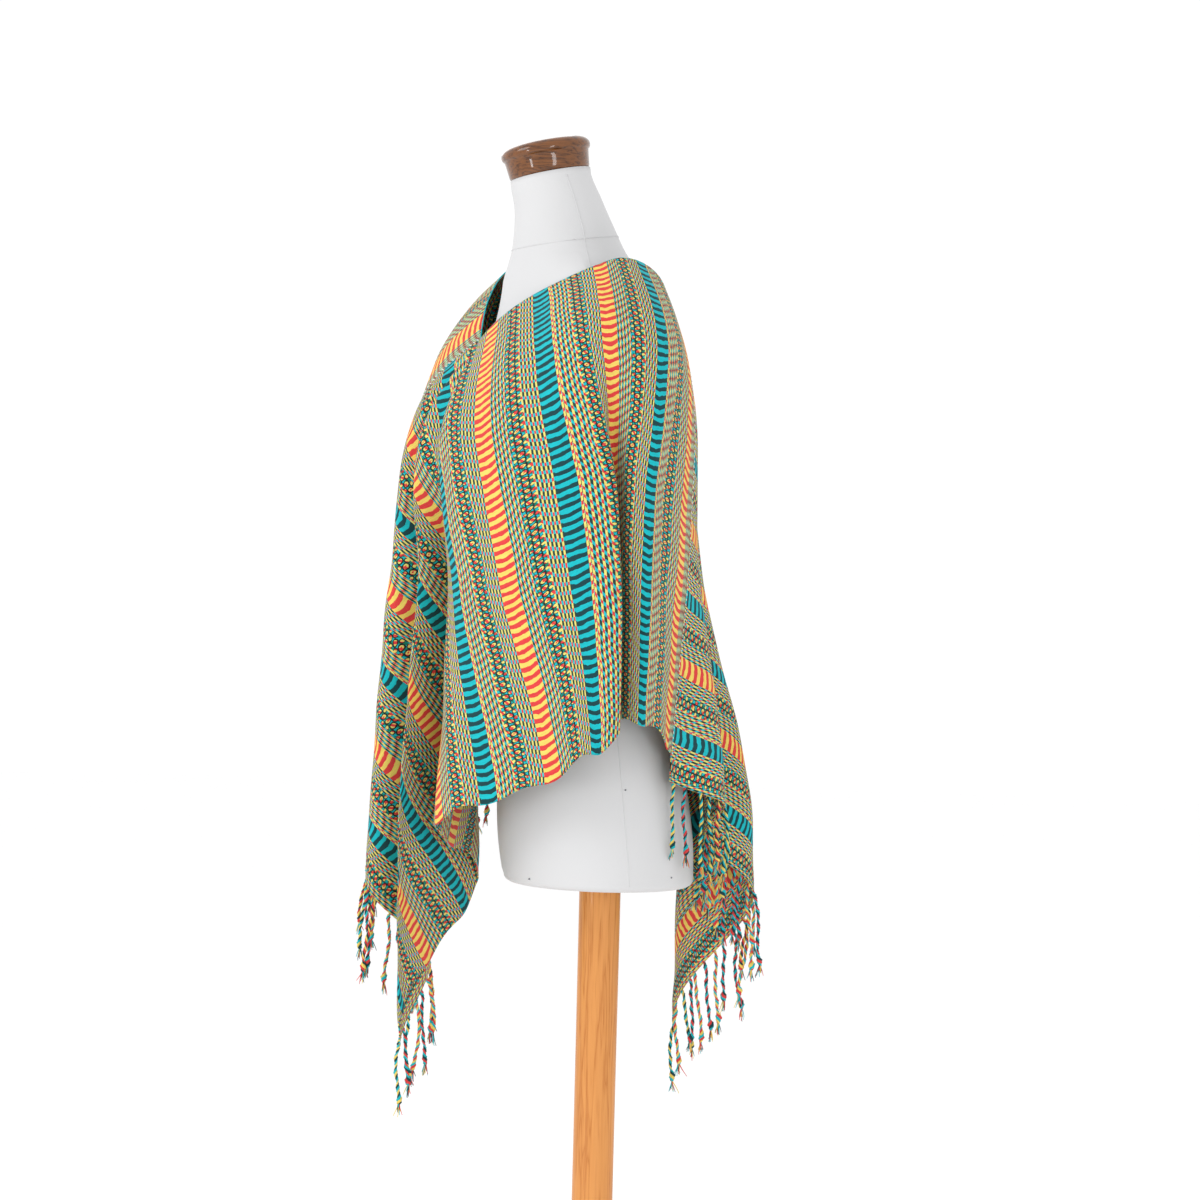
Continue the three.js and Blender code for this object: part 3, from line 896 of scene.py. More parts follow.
def weave_group() -> bpy.types.NodeTree:
    """The stripe weave: bands, dashes and eyes from flat cloth coordinates.

    Returns:
        A shader group with Color and Height outputs.
    """
    tree = bpy.data.node_groups.new("Stripe Weave", "ShaderNodeTree")
    face = tree.interface
    face.new_socket("Cloth Place", in_out="INPUT", socket_type="NodeSocketVector")
    face.new_socket("Reverse", in_out="INPUT", socket_type="NodeSocketFloat")
    face.new_socket("Color", in_out="OUTPUT", socket_type="NodeSocketColor")
    face.new_socket("Height", in_out="OUTPUT", socket_type="NodeSocketFloat")
    g = Graph(tree)
    enter = g.put("NodeGroupInput")
    leave = g.put("NodeGroupOutput")
    place = enter.outputs["Cloth Place"]
    split = g.put("ShaderNodeSeparateXYZ")
    g.feed(split.inputs[0], place)
    sway = g.sub(g.noise(place, 22.0), 0.5)
    jitter = g.sub(g.noise(place, 240.0), 0.5)
    x = g.madd(split.outputs[0], 1000.0, g.mul(sway, 3.2))
    x = g.madd(jitter, 0.35, x)
    sway2 = g.sub(g.noise(g.stretched(place, (26.0, 9.0, 1.0)), 1.0, 3.0), 0.5)
    y = g.madd(split.outputs[1], 1000.0, g.mul(sway2, 9.0))
    y = g.madd(jitter, 0.9, y)
    y = g.madd(g.sub(g.noise(place, 95.0), 0.5), 4.0, y)

    from_band = g.sub(x, FIRST_BAND)
    cell = g.math("FLOOR", g.div(from_band, HALF_REPEAT))
    odd = g.math("FLOORED_MODULO", cell, 2.0)
    s = g.sub(from_band, g.mul(cell, HALF_REPEAT))
    half = g.madd(odd, -2.05, 10.3)
    from_middle = g.mag(g.sub(s, 10.3))
    band = g.less(from_middle, half)

    far = g.more(s, 46.75)
    mirrored = g.sub(93.5, s)
    s2 = g.add(g.mul(s, g.sub(1.0, far)), g.mul(mirrored, far))
    odd2 = g.mag(g.sub(odd, far))
    turn = g.fract(g.div(g.sub(s2, 20.3), 4.1))
    column = g.less(turn, g.madd(odd2, -0.1, 0.55))
    dash_p = g.mag(g.sub(g.sub(1.0, odd2), column))
    band_p = g.sub(1.0, odd)
    outside_band = g.sub(1.0, band)
    use_p = g.add(g.mul(band_p, band), g.mul(dash_p, outside_band))

    slant = g.madd(g.mul(from_middle, from_middle), 0.016, y)
    row = g.fract(g.div(slant, ROW_PAIR))
    share = g.madd(g.noise(place, 90.0), 0.16, g.madd(band, 0.09, 0.34))
    bar = g.less(row, share)

    # Eyes between the dashed columns, with smaller ones half a step off on either side
    off = g.sub(s, 46.75)
    eyes = g.less(g.mag(off), 8.25)
    steps = g.div(y, EYE_STEP)
    e = g.oval(off, g.mul(g.sub(g.fract(steps), 0.5), EYE_STEP), 3.3, 1.75)
    side_off = g.sub(g.mag(off), 6.7)
    half_step = g.fract(g.add(steps, 0.5))
    e2 = g.oval(side_off, g.mul(g.sub(half_step, 0.5), EYE_STEP), 2.4, 1.35)
    nearest = g.math("MINIMUM", e, e2)
    inside = g.less(nearest, 1.0)
    ring = g.mul(g.less(nearest, 1.56), eyes)
    core = g.mul(g.less(e, 0.4), eyes)
    use_p = g.add(g.mul(inside, eyes), g.mul(use_p, g.sub(1.0, eyes)))
    use_p = g.mag(g.sub(use_p, enter.outputs["Reverse"]))

    yellow = g.mix(outside_band, linear(Yarn.YELLOW), linear(Extra.PALE_YELLOW))
    deep = g.mix(outside_band, linear(Yarn.DARK), linear(Extra.DEEP_GREEN))
    warm = g.mix(bar, yellow, linear(Yarn.CORAL))
    cool = g.mix(bar, deep, linear(Yarn.TEAL))
    between = g.mix(bar, linear(Yarn.TEAL), linear(Extra.GREEN))
    color = g.mix(use_p, g.mix(eyes, cool, between), warm)
    color = g.mix(core, color, linear(Yarn.CORAL))
    color = g.mix(g.mul(ring, g.sub(1.0, inside)), color, linear(Extra.INK))

    # Yarns lie along the panel, with the warp ends showing in between; the same relief also darkens the
    # colour in the grooves as painted shade
    yarn = g.mag(g.math("SINE", g.mul(y, math.pi / 1.1)))
    end = g.mag(g.math("SINE", g.mul(x, math.pi / 1.17)))
    relief = g.add(g.mul(yarn, 0.6), g.mul(end, 0.4))
    wear = g.madd(g.noise(g.stretched(place, (60.0, 700.0, 1.0)), 1.0, 2.0), 0.4, 0.7)
    # Painted shade: the colour is darkened in the grooves between yarns and warp ends, times a streaky
    # mottle of the yarn
    wear_and_groove_shade = g.mul(wear, g.madd(relief, 0.34, 0.74))
    dark = g.put("ShaderNodeVectorMath", operation="SCALE")
    g.feed(dark.inputs[0], color)
    g.feed(dark.inputs["Scale"], wear_and_groove_shade)
    edge = g.sub(1.0, g.math("MINIMUM", 1.0, g.mag(g.sub(from_middle, half))))
    height = g.sub(g.madd(band, 0.5, relief), g.mul(edge, 0.5))
    g.feed(leave.inputs["Color"], dark.outputs[0])
    g.feed(leave.inputs["Height"], height)
    return tree


@dataclass(frozen=True)
class Finish:
    """Constants of one surface's shader."""

    name: str
    roughness: float
    sheen: float = 0.0
    coat: float = 0.0
    specular: float = 0.5
    bump: float = 0.2
    bump_mm: float = 0.3


def begin_material(finish: Finish) -> tuple[bpy.types.Material, Graph, bpy.types.Node]:
    """A material with its constants on the shader's own sockets.

    Args:
        finish: The surface.

    Returns:
        The material, its writer and its shader node.
    """
    material = bpy.data.materials.new(finish.name)
    material.use_nodes = True
    material.node_tree.nodes.clear()
    g = Graph(material.node_tree)
    shader = g.put("ShaderNodeBsdfPrincipled")
    shader.inputs["Roughness"].default_value = finish.roughness
    shader.inputs["Sheen Weight"].default_value = finish.sheen
    shader.inputs["Coat Weight"].default_value = finish.coat
    shader.inputs["Specular IOR Level"].default_value = finish.specular
    shader.inputs["Coat Roughness"].default_value = 0.06
    out = g.put("ShaderNodeOutputMaterial")
    g.feed(out.inputs["Surface"], shader.outputs[0])
    return material, g, shader


def add_bump(g: Graph, shader: bpy.types.Node, finish: Finish, height: bpy.types.NodeSocket) -> None:
    """Gives a shader its relief.

    Args:
        g: The material's writer.
        shader: Its shader node.
        finish: The surface.
        height: Relief from 0 to about 1.
    """
    bump = g.put("ShaderNodeBump")
    bump.inputs["Strength"].default_value = finish.bump
    bump.inputs["Distance"].default_value = finish.bump_mm * MM
    g.feed(bump.inputs["Height"], height)
    g.feed(shader.inputs["Normal"], bump.outputs[0])


def weave_material(name: str, group: bpy.types.NodeTree, reverse: float) -> bpy.types.Material:
    """The cloth seen from its face or its reverse.

    Args:
        name: Name of the material.
        group: The weave group.
        reverse: 1 for the reverse, which swaps the two yarn pairs.

    Returns:
        The material.
    """
    finish = Finish(name, 0.7, sheen=0.04, specular=0.25, bump=0.7, bump_mm=0.7)
    material, g, shader = begin_material(finish)
    uv = g.put("ShaderNodeUVMap", uv_map="Cloth")
    weave = g.put("ShaderNodeGroup", node_tree=group)
    weave.inputs["Reverse"].default_value = reverse
    g.feed(weave.inputs["Cloth Place"], uv.outputs[0])
    g.feed(shader.inputs["Base Color"], weave.outputs["Color"])
    add_bump(g, shader, finish, weave.outputs["Height"])
    return material


def yarn_material(color: Enum) -> bpy.types.Material:
    """Spun yarn of one colour.

    Args:
        color: The yarn.

    Returns:
        The material.
    """
    finish = Finish(f"yarn_{color.name.lower()}", 0.7, sheen=0.05, specular=0.25, bump=0.5, bump_mm=0.25)
    material, g, shader = begin_material(finish)
    place = g.put("ShaderNodeTexCoord").outputs["Object"]
    fibre = g.noise(g.stretched(place, (1500.0, 1500.0, 420.0)), 1.0, 2.0)
    pale = linear(color)
    deep = tuple(c * 0.5 for c in pale[:3]) + (1.0,)
    g.feed(shader.inputs["Base Color"], g.mix(fibre, deep, pale))
    add_bump(g, shader, finish, fibre)
    return material


def cover_material() -> bpy.types.Material:
    """Fine off-white cloth stretched over the form.

    Returns:
        The material.
    """
    finish = Finish("form_cover", 0.82, sheen=0.12, bump=0.25, bump_mm=0.2)
    material, g, shader = begin_material(finish)
    place = g.put("ShaderNodeTexCoord").outputs["Object"]
    threads = g.math(
        "MULTIPLY",
        g.noise(g.stretched(place, (900.0, 900.0, 3200.0)), 1.0, 1.0),
        g.noise(g.stretched(place, (3200.0, 3200.0, 900.0)), 1.0, 1.0),
    )
    cloud = g.noise(place, 9.0, 4.0)
    base = linear(Extra.COVER)
    grey = tuple(c * 0.86 for c in base[:3]) + (1.0,)
    tint = g.mix(g.mul(cloud, 0.6), base, grey)
    g.feed(shader.inputs["Base Color"], g.mix(g.mul(threads, 0.35), tint, grey))
    add_bump(g, shader, finish, threads)
    return material


def wood_material(
    name: str, pale: Enum, deep: Enum, grain: tuple[float, float, float], roughness: float, coat: float
) -> bpy.types.Material:
    """Varnished wood with long grain and a few knots.

    Args:
        name: Name of the material.
        pale: Colour between the grain lines.
        deep: Colour of the grain lines.
        grain: Noise scale on each axis, small along the grain.
        roughness: Roughness of the wood.
        coat: Weight of the varnish.

    Returns:
        The material.
    """
    finish = Finish(name, roughness, coat=coat, specular=0.1, bump=0.12, bump_mm=0.1)
    material, g, shader = begin_material(finish)
    place = g.put("ShaderNodeTexCoord").outputs["Object"]
    broad = g.noise(g.stretched(place, grain), 1.0, 5.0)
    fine = g.noise(g.stretched(place, tuple(4.5 * v for v in grain)), 1.0, 3.0)
    rings = g.fract(g.mul(broad, 7.0))
    line = g.math("POWER", g.mag(g.madd(rings, 2.0, -1.0)), 3.0)
    mask = g.madd(line, 0.55, g.mul(fine, 0.45))
    knots = g.put("ShaderNodeTexVoronoi")
    g.feed(knots.inputs["Vector"], g.stretched(place, tuple(v * 0.12 for v in grain)))
    g.feed(knots.inputs["Scale"], 1.0)
    spot = g.less(knots.outputs["Distance"], 0.05)
    mask = g.math("MAXIMUM", mask, g.mul(spot, 0.9))
    g.feed(shader.inputs["Base Color"], g.mix(mask, linear(pale), linear(deep)))
    add_bump(g, shader, finish, fine)
    return material


def plain_material(name: str, color: Enum, roughness: float) -> bpy.types.Material:
    """A nearly even surface with a slight mottle.

    Args:
        name: Name of the material.
        color: Its colour.
        roughness: Its roughness.

    Returns:
        The material.
    """
    material, g, shader = begin_material(Finish(name, roughness))
    place = g.put("ShaderNodeTexCoord").outputs["Object"]
    base = linear(color)
    deep = tuple(c * 0.93 for c in base[:3]) + (1.0,)
    g.feed(shader.inputs["Base Color"], g.mix(g.noise(place, 40.0), base, deep))
    return material


@dataclass
class Palette:
    """Every material of the scene."""

    face: bpy.types.Material
    reverse: bpy.types.Material
    yarns: dict[Yarn, bpy.types.Material]
    cover: bpy.types.Material
    cap: bpy.types.Material
    pole: bpy.types.Material
    pin: bpy.types.Material
    floor: bpy.types.Material


def make_palette() -> Palette:
    """Makes every material once.

    Returns:
        The palette.
    """
    weave = weave_group()
    return Palette(
        face=weave_material("weave_face", weave, 0.0),
        reverse=weave_material("weave_reverse", weave, 1.0),
        yarns={y: yarn_material(y) for y in Yarn},
        cover=cover_material(),
        cap=wood_material("cap_wood", Extra.DARK_WOOD, Extra.DARK_GRAIN, (60.0, 7.0, 110.0), 0.35, 0.8),
        pole=wood_material("pole_wood", Extra.HONEY, Extra.HONEY_GRAIN, (70.0, 70.0, 3.5), 0.42, 0.25),
        pin=plain_material("pin_steel", Extra.STEEL, 0.35),
        floor=plain_material("floor", Extra.FLOOR, 0.9),
    )


# Poncho


@dataclass
class Panel:
    """One woven panel with its fringe and edge yarns."""

    name: str
    first_part: int
    free: float
    creases: tuple[Crease, ...]
    drape: Drape
    cells_along: int = 224
    cells_across: int = 130
    grid: np.ndarray = field(init=False)
    normals: np.ndarray = field(init=False)
    along: np.ndarray = field(init=False)
    across: np.ndarray = field(init=False)

    def __post_init__(self) -> None:
        """Works out the middle surface and its outward normals."""
        length = NECK + self.free
        flat_l = np.linspace(0, length, self.cells_along + 1)
        flat_w = np.linspace(0, WIDTH, self.cells_across + 1)
        self.along, self.across = np.meshgrid(flat_l, flat_w, indexing="ij")
        base = self.drape.panel_point(self.first_part, self.along, self.across)
        normals = self._normals(base)
        if self.first_part == 2:
            # The right panel's neck edge lies closer to the form beside the V.
            beside = np.sin(math.pi * np.clip((self.along - 150) / 200, 0, 1) ** 1.6)
            base = base - normals * (9.0 * beside * np.exp(-((self.across / 80) ** 2)))[..., None]
        shares = [c.profile(self.along, self.across) for c in self.creases]
        lift = sum(c.height * share for c, share in zip(self.creases, shares))
        drop = sum(c.drop * share for c, share in zip(self.creases, shares))
        cockle = (
            0.5 * np.sin(self.along / 11.3 + 1.7 * np.sin(self.across / 61))
            + 0.4 * np.sin(self.across / 17.1 + 1.3 * np.sin(self.along / 47))
            + 0.35 * np.sin((self.along + self.across) / 23.7)
        )
        scallop = np.clip((self.across - WIDTH + 60) / 60, 0, 1) ** 2
        ripple = 1.6 * scallop * np.sin(2 * math.pi * (self.along - 27) / HALF_REPEAT)
        inner = np.clip(np.minimum(self.across, 120) / 120, 0, 1)
        edge = np.minimum(1, np.minimum(self.along, length - self.along) / 25)
        move = (lift + cockle * 0.8) * inner * edge + ripple * edge
        self.grid = base + normals * move[..., None]
        wave = np.cos(2 * math.pi * (self.along - 27) / HALF_REPEAT)
        self.grid[..., 2] -= 3.2 * scallop * wave + drop * edge
        self.normals = self._normals(self.grid)

    @staticmethod
    def _normals(points: np.ndarray) -> np.ndarray:
        """Outward unit normals of a grid.

        Args:
            points: The grid of points.

        Returns:
            A normal for each point.
        """
        down = np.gradient(points, axis=1)
        around = np.gradient(points, axis=0)
        n = np.cross(around, down)
        size = np.linalg.norm(n, axis=2, keepdims=True)
        return n / np.maximum(size, 1e-9)

    def at_flat(self, along: np.ndarray, across: np.ndarray) -> np.ndarray:
        """Places on the finished middle surface.

        Args:
            along: Flat places along the panel.
            across: Flat places across it.

        Returns:
            Points in mm.
        """
        u = np.clip(np.asarray(along) / (NECK + self.free), 0, 1) * self.cells_along
        v = np.clip(np.asarray(across) / WIDTH, 0, 1) * self.cells_across
        i = np.minimum(u.astype(int), self.cells_along - 1)
        j = np.minimum(v.astype(int), self.cells_across - 1)
        fu, fv = (u - i)[..., None], (v - j)[..., None]
        g = self.grid
        near = g[i, j] * (1 - fu) + g[i + 1, j] * fu
        far = g[i, j + 1] * (1 - fu) + g[i + 1, j + 1] * fu
        return near * (1 - fv) + far * fv

    def build(self, palette: Palette) -> bpy.types.Object:
        """The panel as a thin shell with face and reverse.

        Args:
            palette: The materials.

        Returns:
            The object.
        """
        nl, nw = self.cells_along + 1, self.cells_across + 1
        count = nl * nw
        outer = (self.grid + self.normals * CLOTH / 2).reshape(-1, 3)
        inner = (self.grid - self.normals * CLOTH / 2).reshape(-1, 3)
        index = np.arange(count).reshape(nl, nw)
        a, b, c, d = index[:-1, :-1], index[:-1, 1:], index[1:, 1:], index[1:, :-1]
        top = np.stack([a, d, c, b], axis=-1).reshape(-1, 4)
        under = np.stack([a, b, c, d], axis=-1).reshape(-1, 4) + count
        loop = np.concatenate([index[:-1, 0], index[-1, :-1], index[:0:-1, -1], index[0, :0:-1]])
        after = np.roll(loop, -1)
        rim = np.stack([after, loop, loop + count, after + count], axis=-1)
        faces = np.concatenate([top, under, rim])
        obj = new_object(self.name, np.concatenate([outer, inner]), faces.tolist())
        obj.data.materials.append(palette.face)
        obj.data.materials.append(palette.reverse)
        slots = np.zeros(len(faces), dtype=int)
        slots[len(top) : len(top) + len(under)] = 1
        obj.data.polygons.foreach_set("material_index", slots)
        # The first orange band's middle is 33 mm from the seamed end, and 27 mm on the left panel.
        shift = 0.0 if self.first_part == 0 else self._right_shift()
        places = np.stack([(self.along.ravel() + shift) * MM, self.across.ravel() * MM], axis=1)
        places = np.concatenate([places, places])
        layer = obj.data.uv_layers.new(name="Cloth")
        corners = np.empty(len(obj.data.loops), dtype=int)
        obj.data.loops.foreach_get("vertex_index", corners)
        layer.data.foreach_set("uv", places[corners].ravel())
        return obj

    def _right_shift(self) -> float:
        """Moves the right panel's repeat so that orange lies 33 mm from the front seam.

        Returns:
            The shift in mm.
        """
        return FIRST_BAND + 10.3 - 33.0

    def free_edge(self, across: np.ndarray) -> tuple[np.ndarray, np.ndarray]:
        """Places on the fringed end and the way the cloth runs there.

        Args:
            across: Flat places across the panel.

        Returns:
            Points and unit directions past the end.
        """
        end = np.full_like(across, NECK + self.free)
        here = self.at_flat(end, across)
        back = self.at_flat(end - 14, across)
        way = here - back
        return here, way / np.linalg.norm(way, axis=1, keepdims=True)


@dataclass
class Fringe:
    """Plied cords with a knot and a frayed tassel along a panel's free end."""

    panel: Panel
    name: str
    lines: dict[Yarn, list[np.ndarray]] = field(default_factory=lambda: {y: [] for y in Yarn})
    radii: dict[Yarn, list[np.ndarray]] = field(default_factory=lambda: {y: [] for y in Yarn})

    def __post_init__(self) -> None:
        """Starts the source of chance."""
        self.rng = np.random.default_rng(RNG_SEED + self.panel.first_part)
        self.yarns = list(Yarn)

    def _path(self, root: np.ndarray, way: np.ndarray, length: float) -> np.ndarray:
        """The middle line of one hanging cord.

        Args:
            root: Where it leaves the cloth.
            way: The cloth's direction there.
            length: Its length in mm.

        Returns:
            Points in mm.
        """
        steps = np.arange(0, length + 1, 2.0)
        phase = self.rng.uniform(0, 2 * math.pi, 4)
        lean = self.rng.normal(0, 0.07, 2)
        curl = 0.05 * self.rng.uniform(1.5, 4.5)
        blend = np.clip(steps / 16, 0, 1)[:, None]
        ways = way * (1 - blend) + np.array([0.0, 0.0, -1.0]) * blend
        ways[:, 0] += lean[0] + curl * np.cos(steps / 13 + phase[0]) + 0.17 * np.cos(steps / 3.3 + phase[1])
        ways[:, 1] += lean[1] + curl * np.cos(steps / 15 + phase[2]) + 0.15 * np.cos(steps / 2.9 + phase[3])
        ways /= np.linalg.norm(ways, axis=1, keepdims=True)
        return root - way * 2.0 + np.cumsum(ways * 2.0, axis=0)

    def _plies(self, n: int, path: np.ndarray, length: float) -> int:
        """Twists three plies round a cord's path, with the knot near its end.

        Args:
            n: Number of the cord.
            path: Its middle line.
            length: Its length in mm.

        Returns:
            Index of its first yarn.
        """
        steps = np.arange(len(path)) * 2.0
        knot = np.exp(-(((steps - length + 5) / 3.4) ** 2))
        first = self.rng.integers(0, 4)
        turn = self.rng.choice([-1, 1])
        side = np.cross(np.gradient(path, axis=0), [0.3, 1.0, 0.1])
        side /= np.linalg.norm(side, axis=1, keepdims=True)
        other = np.cross(np.gradient(path, axis=0), side)
        other /= np.linalg.norm(other, axis=1, keepdims=True)
        bead = 0.22 * np.sin(steps / 2.6 + n) + 0.12 * np.sin(steps / 1.3 + 2 * n)
        out = 1.02 + bead + 1.0 * knot
        for ply in range(3):
            yarn = self.yarns[(first + ply) % 4]
            angle = turn * 2 * math.pi * steps / 10 + 2 * math.pi * ply / 3
            line = path + side * (out * np.cos(angle))[:, None] + other * (out * np.sin(angle))[:, None]
            self.lines[yarn].append(line)
            self.radii[yarn].append(1.06 + bead + 0.8 * knot)
        return int(first)

    def _tassel(self, end: np.ndarray, first: int) -> None:
        """Frays a cord's end.

        Args:
            end: The cord's last point.
            first: Index of its first yarn.
        """
        for hair in range(12):
            yarn = self.yarns[(first + hair) % 4]
            spread = self.rng.normal(0, 0.2, 2)
            reach = np.linspace(0, self.rng.uniform(7, 15), 6)
            x = spread[0] * reach + 0.5 * np.sin(reach / 3 + hair)
            y = spread[1] * reach + 0.5 * np.cos(reach / 4 + hair)
            self.lines[yarn].append(end + np.stack([x, y, 1 - reach], axis=1))
            self.radii[yarn].append(np.linspace(0.65, 0.3, 6))

    def build(self, palette: Palette, tubes: bpy.types.NodeTree) -> bpy.types.Object:
        """The whole fringe.

        Args:
            palette: The materials.
            tubes: The geometry group for yarn.

        Returns:
            The fringe as one object.
        """
        across = WIDTH * (np.arange(STRANDS) + 0.5 + self.rng.uniform(-0.22, 0.22, STRANDS)) / STRANDS
        for n, (root, way) in enumerate(zip(*self.panel.free_edge(across))):
            length = 78 + self.rng.uniform(-14, 12)
            path = self._path(root, way, length)
            self._tassel(path[-1], self._plies(n, path, length))
        meshes = [
            grown(
                add_curves(f"{self.name}_{y.name.lower()}", self.lines[y], self.radii[y]),
                tubes,
                {"Sides": 6, "Material": palette.yarns[y]},
            )
            for y in self.yarns
        ]
        return joined(self.name, meshes)


def make_selvedge(panel: Panel, palette: Palette, tubes: bpy.types.NodeTree) -> bpy.types.Object:
    """The firm teal selvedge yarn along a panel's neck edge.

    Args:
        panel: The panel.
        palette: The materials.
        tubes: The geometry group for yarn.

    Returns:
        The selvedge as one object.
    """
    places = np.arange(2.0, NECK - 1.0, 3.0)
    line = panel.at_flat(places, np.zeros_like(places))
    curve = add_curves(f"{panel.name}_edge", [line], [0.7 + 0.1 * np.sin(places / 2.1)])
    mesh = grown(curve, tubes, {"Sides": 8, "Material": palette.yarns[Yarn.TEAL]})
    return joined(f"{panel.name}_selvedge", [mesh])


def make_seam(
    panel: Panel, name: str, palette: Palette, stitches: bpy.types.NodeTree
) -> bpy.types.Object:
    """Hand stitches over the join from a panel's V to the hem.

    Args:
        panel: The panel whose neck edge is sewn below the V.
        name: Name of the piece.
        palette: The materials.
        stitches: The geometry group for stitches.

    Returns:
        The stitches as one object.
    """
    reach = np.arange(3.0, min(panel.free, WIDTH) - 2.0, 4.0)
    line = panel.drape.point(panel.first_part + 1, np.full_like(reach, 89.9), reach)
    inside = panel.drape.point(panel.first_part + 1, np.full_like(reach, 88.0), reach)
    rise = np.cross(np.gradient(line, axis=0), line - inside)
    rise /= np.linalg.norm(rise, axis=1, keepdims=True)
    centre = np.array([0.0, -40.0, 0.0])
    away = line - centre
    away[:, 2] = 0
    flip = np.sign(np.sum(rise * away, axis=1, keepdims=True))
    curve = add_curves(name, [line + rise * flip * 0.9], [np.ones(len(line))])
    sizes = {"Spacing": 5.5 * MM, "Length": 4.6 * MM, "Thickness": 1.0 * MM, "Turn": 0.75}
    return joined(name, [grown(curve, stitches, {**sizes, "Material": palette.yarns[Yarn.DARK]})])


# Form and stand


def torso_section(z: float) -> np.ndarray:
    """Front, back, half width and outline power of the form at a height.

    Args:
        z: Height in mm.

    Returns:
        The four values.
    """
    rows = np.array(TORSO)
    last = len(rows) - 1
    i = int(np.clip(np.searchsorted(rows[:, 0], z, side="right") - 1, 0, last - 1))
    s0, s1, s2, s3 = (rows[int(np.clip(k, 0, last))] for k in (i - 1, i, i + 1, i + 2))
    span = s2[0] - s1[0]
    f = (z - s1[0]) / span
    m1 = slope_at(s0[1:], s1[1:], s2[1:], max(1.0, s1[0] - s0[0]), span)
    m2 = slope_at(s1[1:], s2[1:], s3[1:], span, max(1.0, s3[0] - s2[0]))
    if i == 0:
        m1 = (s2[1:] - s1[1:]) / span
    return hermite(s1[1:], s2[1:], m1, m2, span, f)


def torso_ring(z: float, sides: int, shrink: float = 0.0) -> np.ndarray:
    """One ring of the form.

    Args:
        z: Height in mm.
        sides: Points in the ring.
        shrink: How far it is drawn in, in mm.

    Returns:
        The ring's points.
    """
    front, back, half, power = torso_section(z)
    middle, deep = (front + back) / 2, (back - front) / 2 - shrink
    angles = np.linspace(0, 2 * math.pi, sides, endpoint=False)

    c, s = (np.sign(v) * np.abs(v) ** (2 / power) for v in (np.cos(angles), np.sin(angles)))
    y = middle + deep * s
    lean = max(0.0, (z - 1400) / (TORSO[-1][0] - 1400)) * math.tan(CAP_TILT)
    return np.stack([(half - shrink) * c, y, z + lean * (y - middle)], axis=1)


def on_form(places: Sequence[tuple[float, float]], proud: float = 0.3) -> np.ndarray:
    """Points on the form from angle and height.

    Args:
        places: Angle in degrees from the wearer's left and height in mm.
        proud: How far outside the surface, in mm.

    Returns:
        Points in mm.
    """
    rings = [(angle, torso_ring(z, 720, -proud)) for angle, z in places]
    return np.array([ring[int(round((angle % 360) * 2)) % 720] for angle, ring in rings])


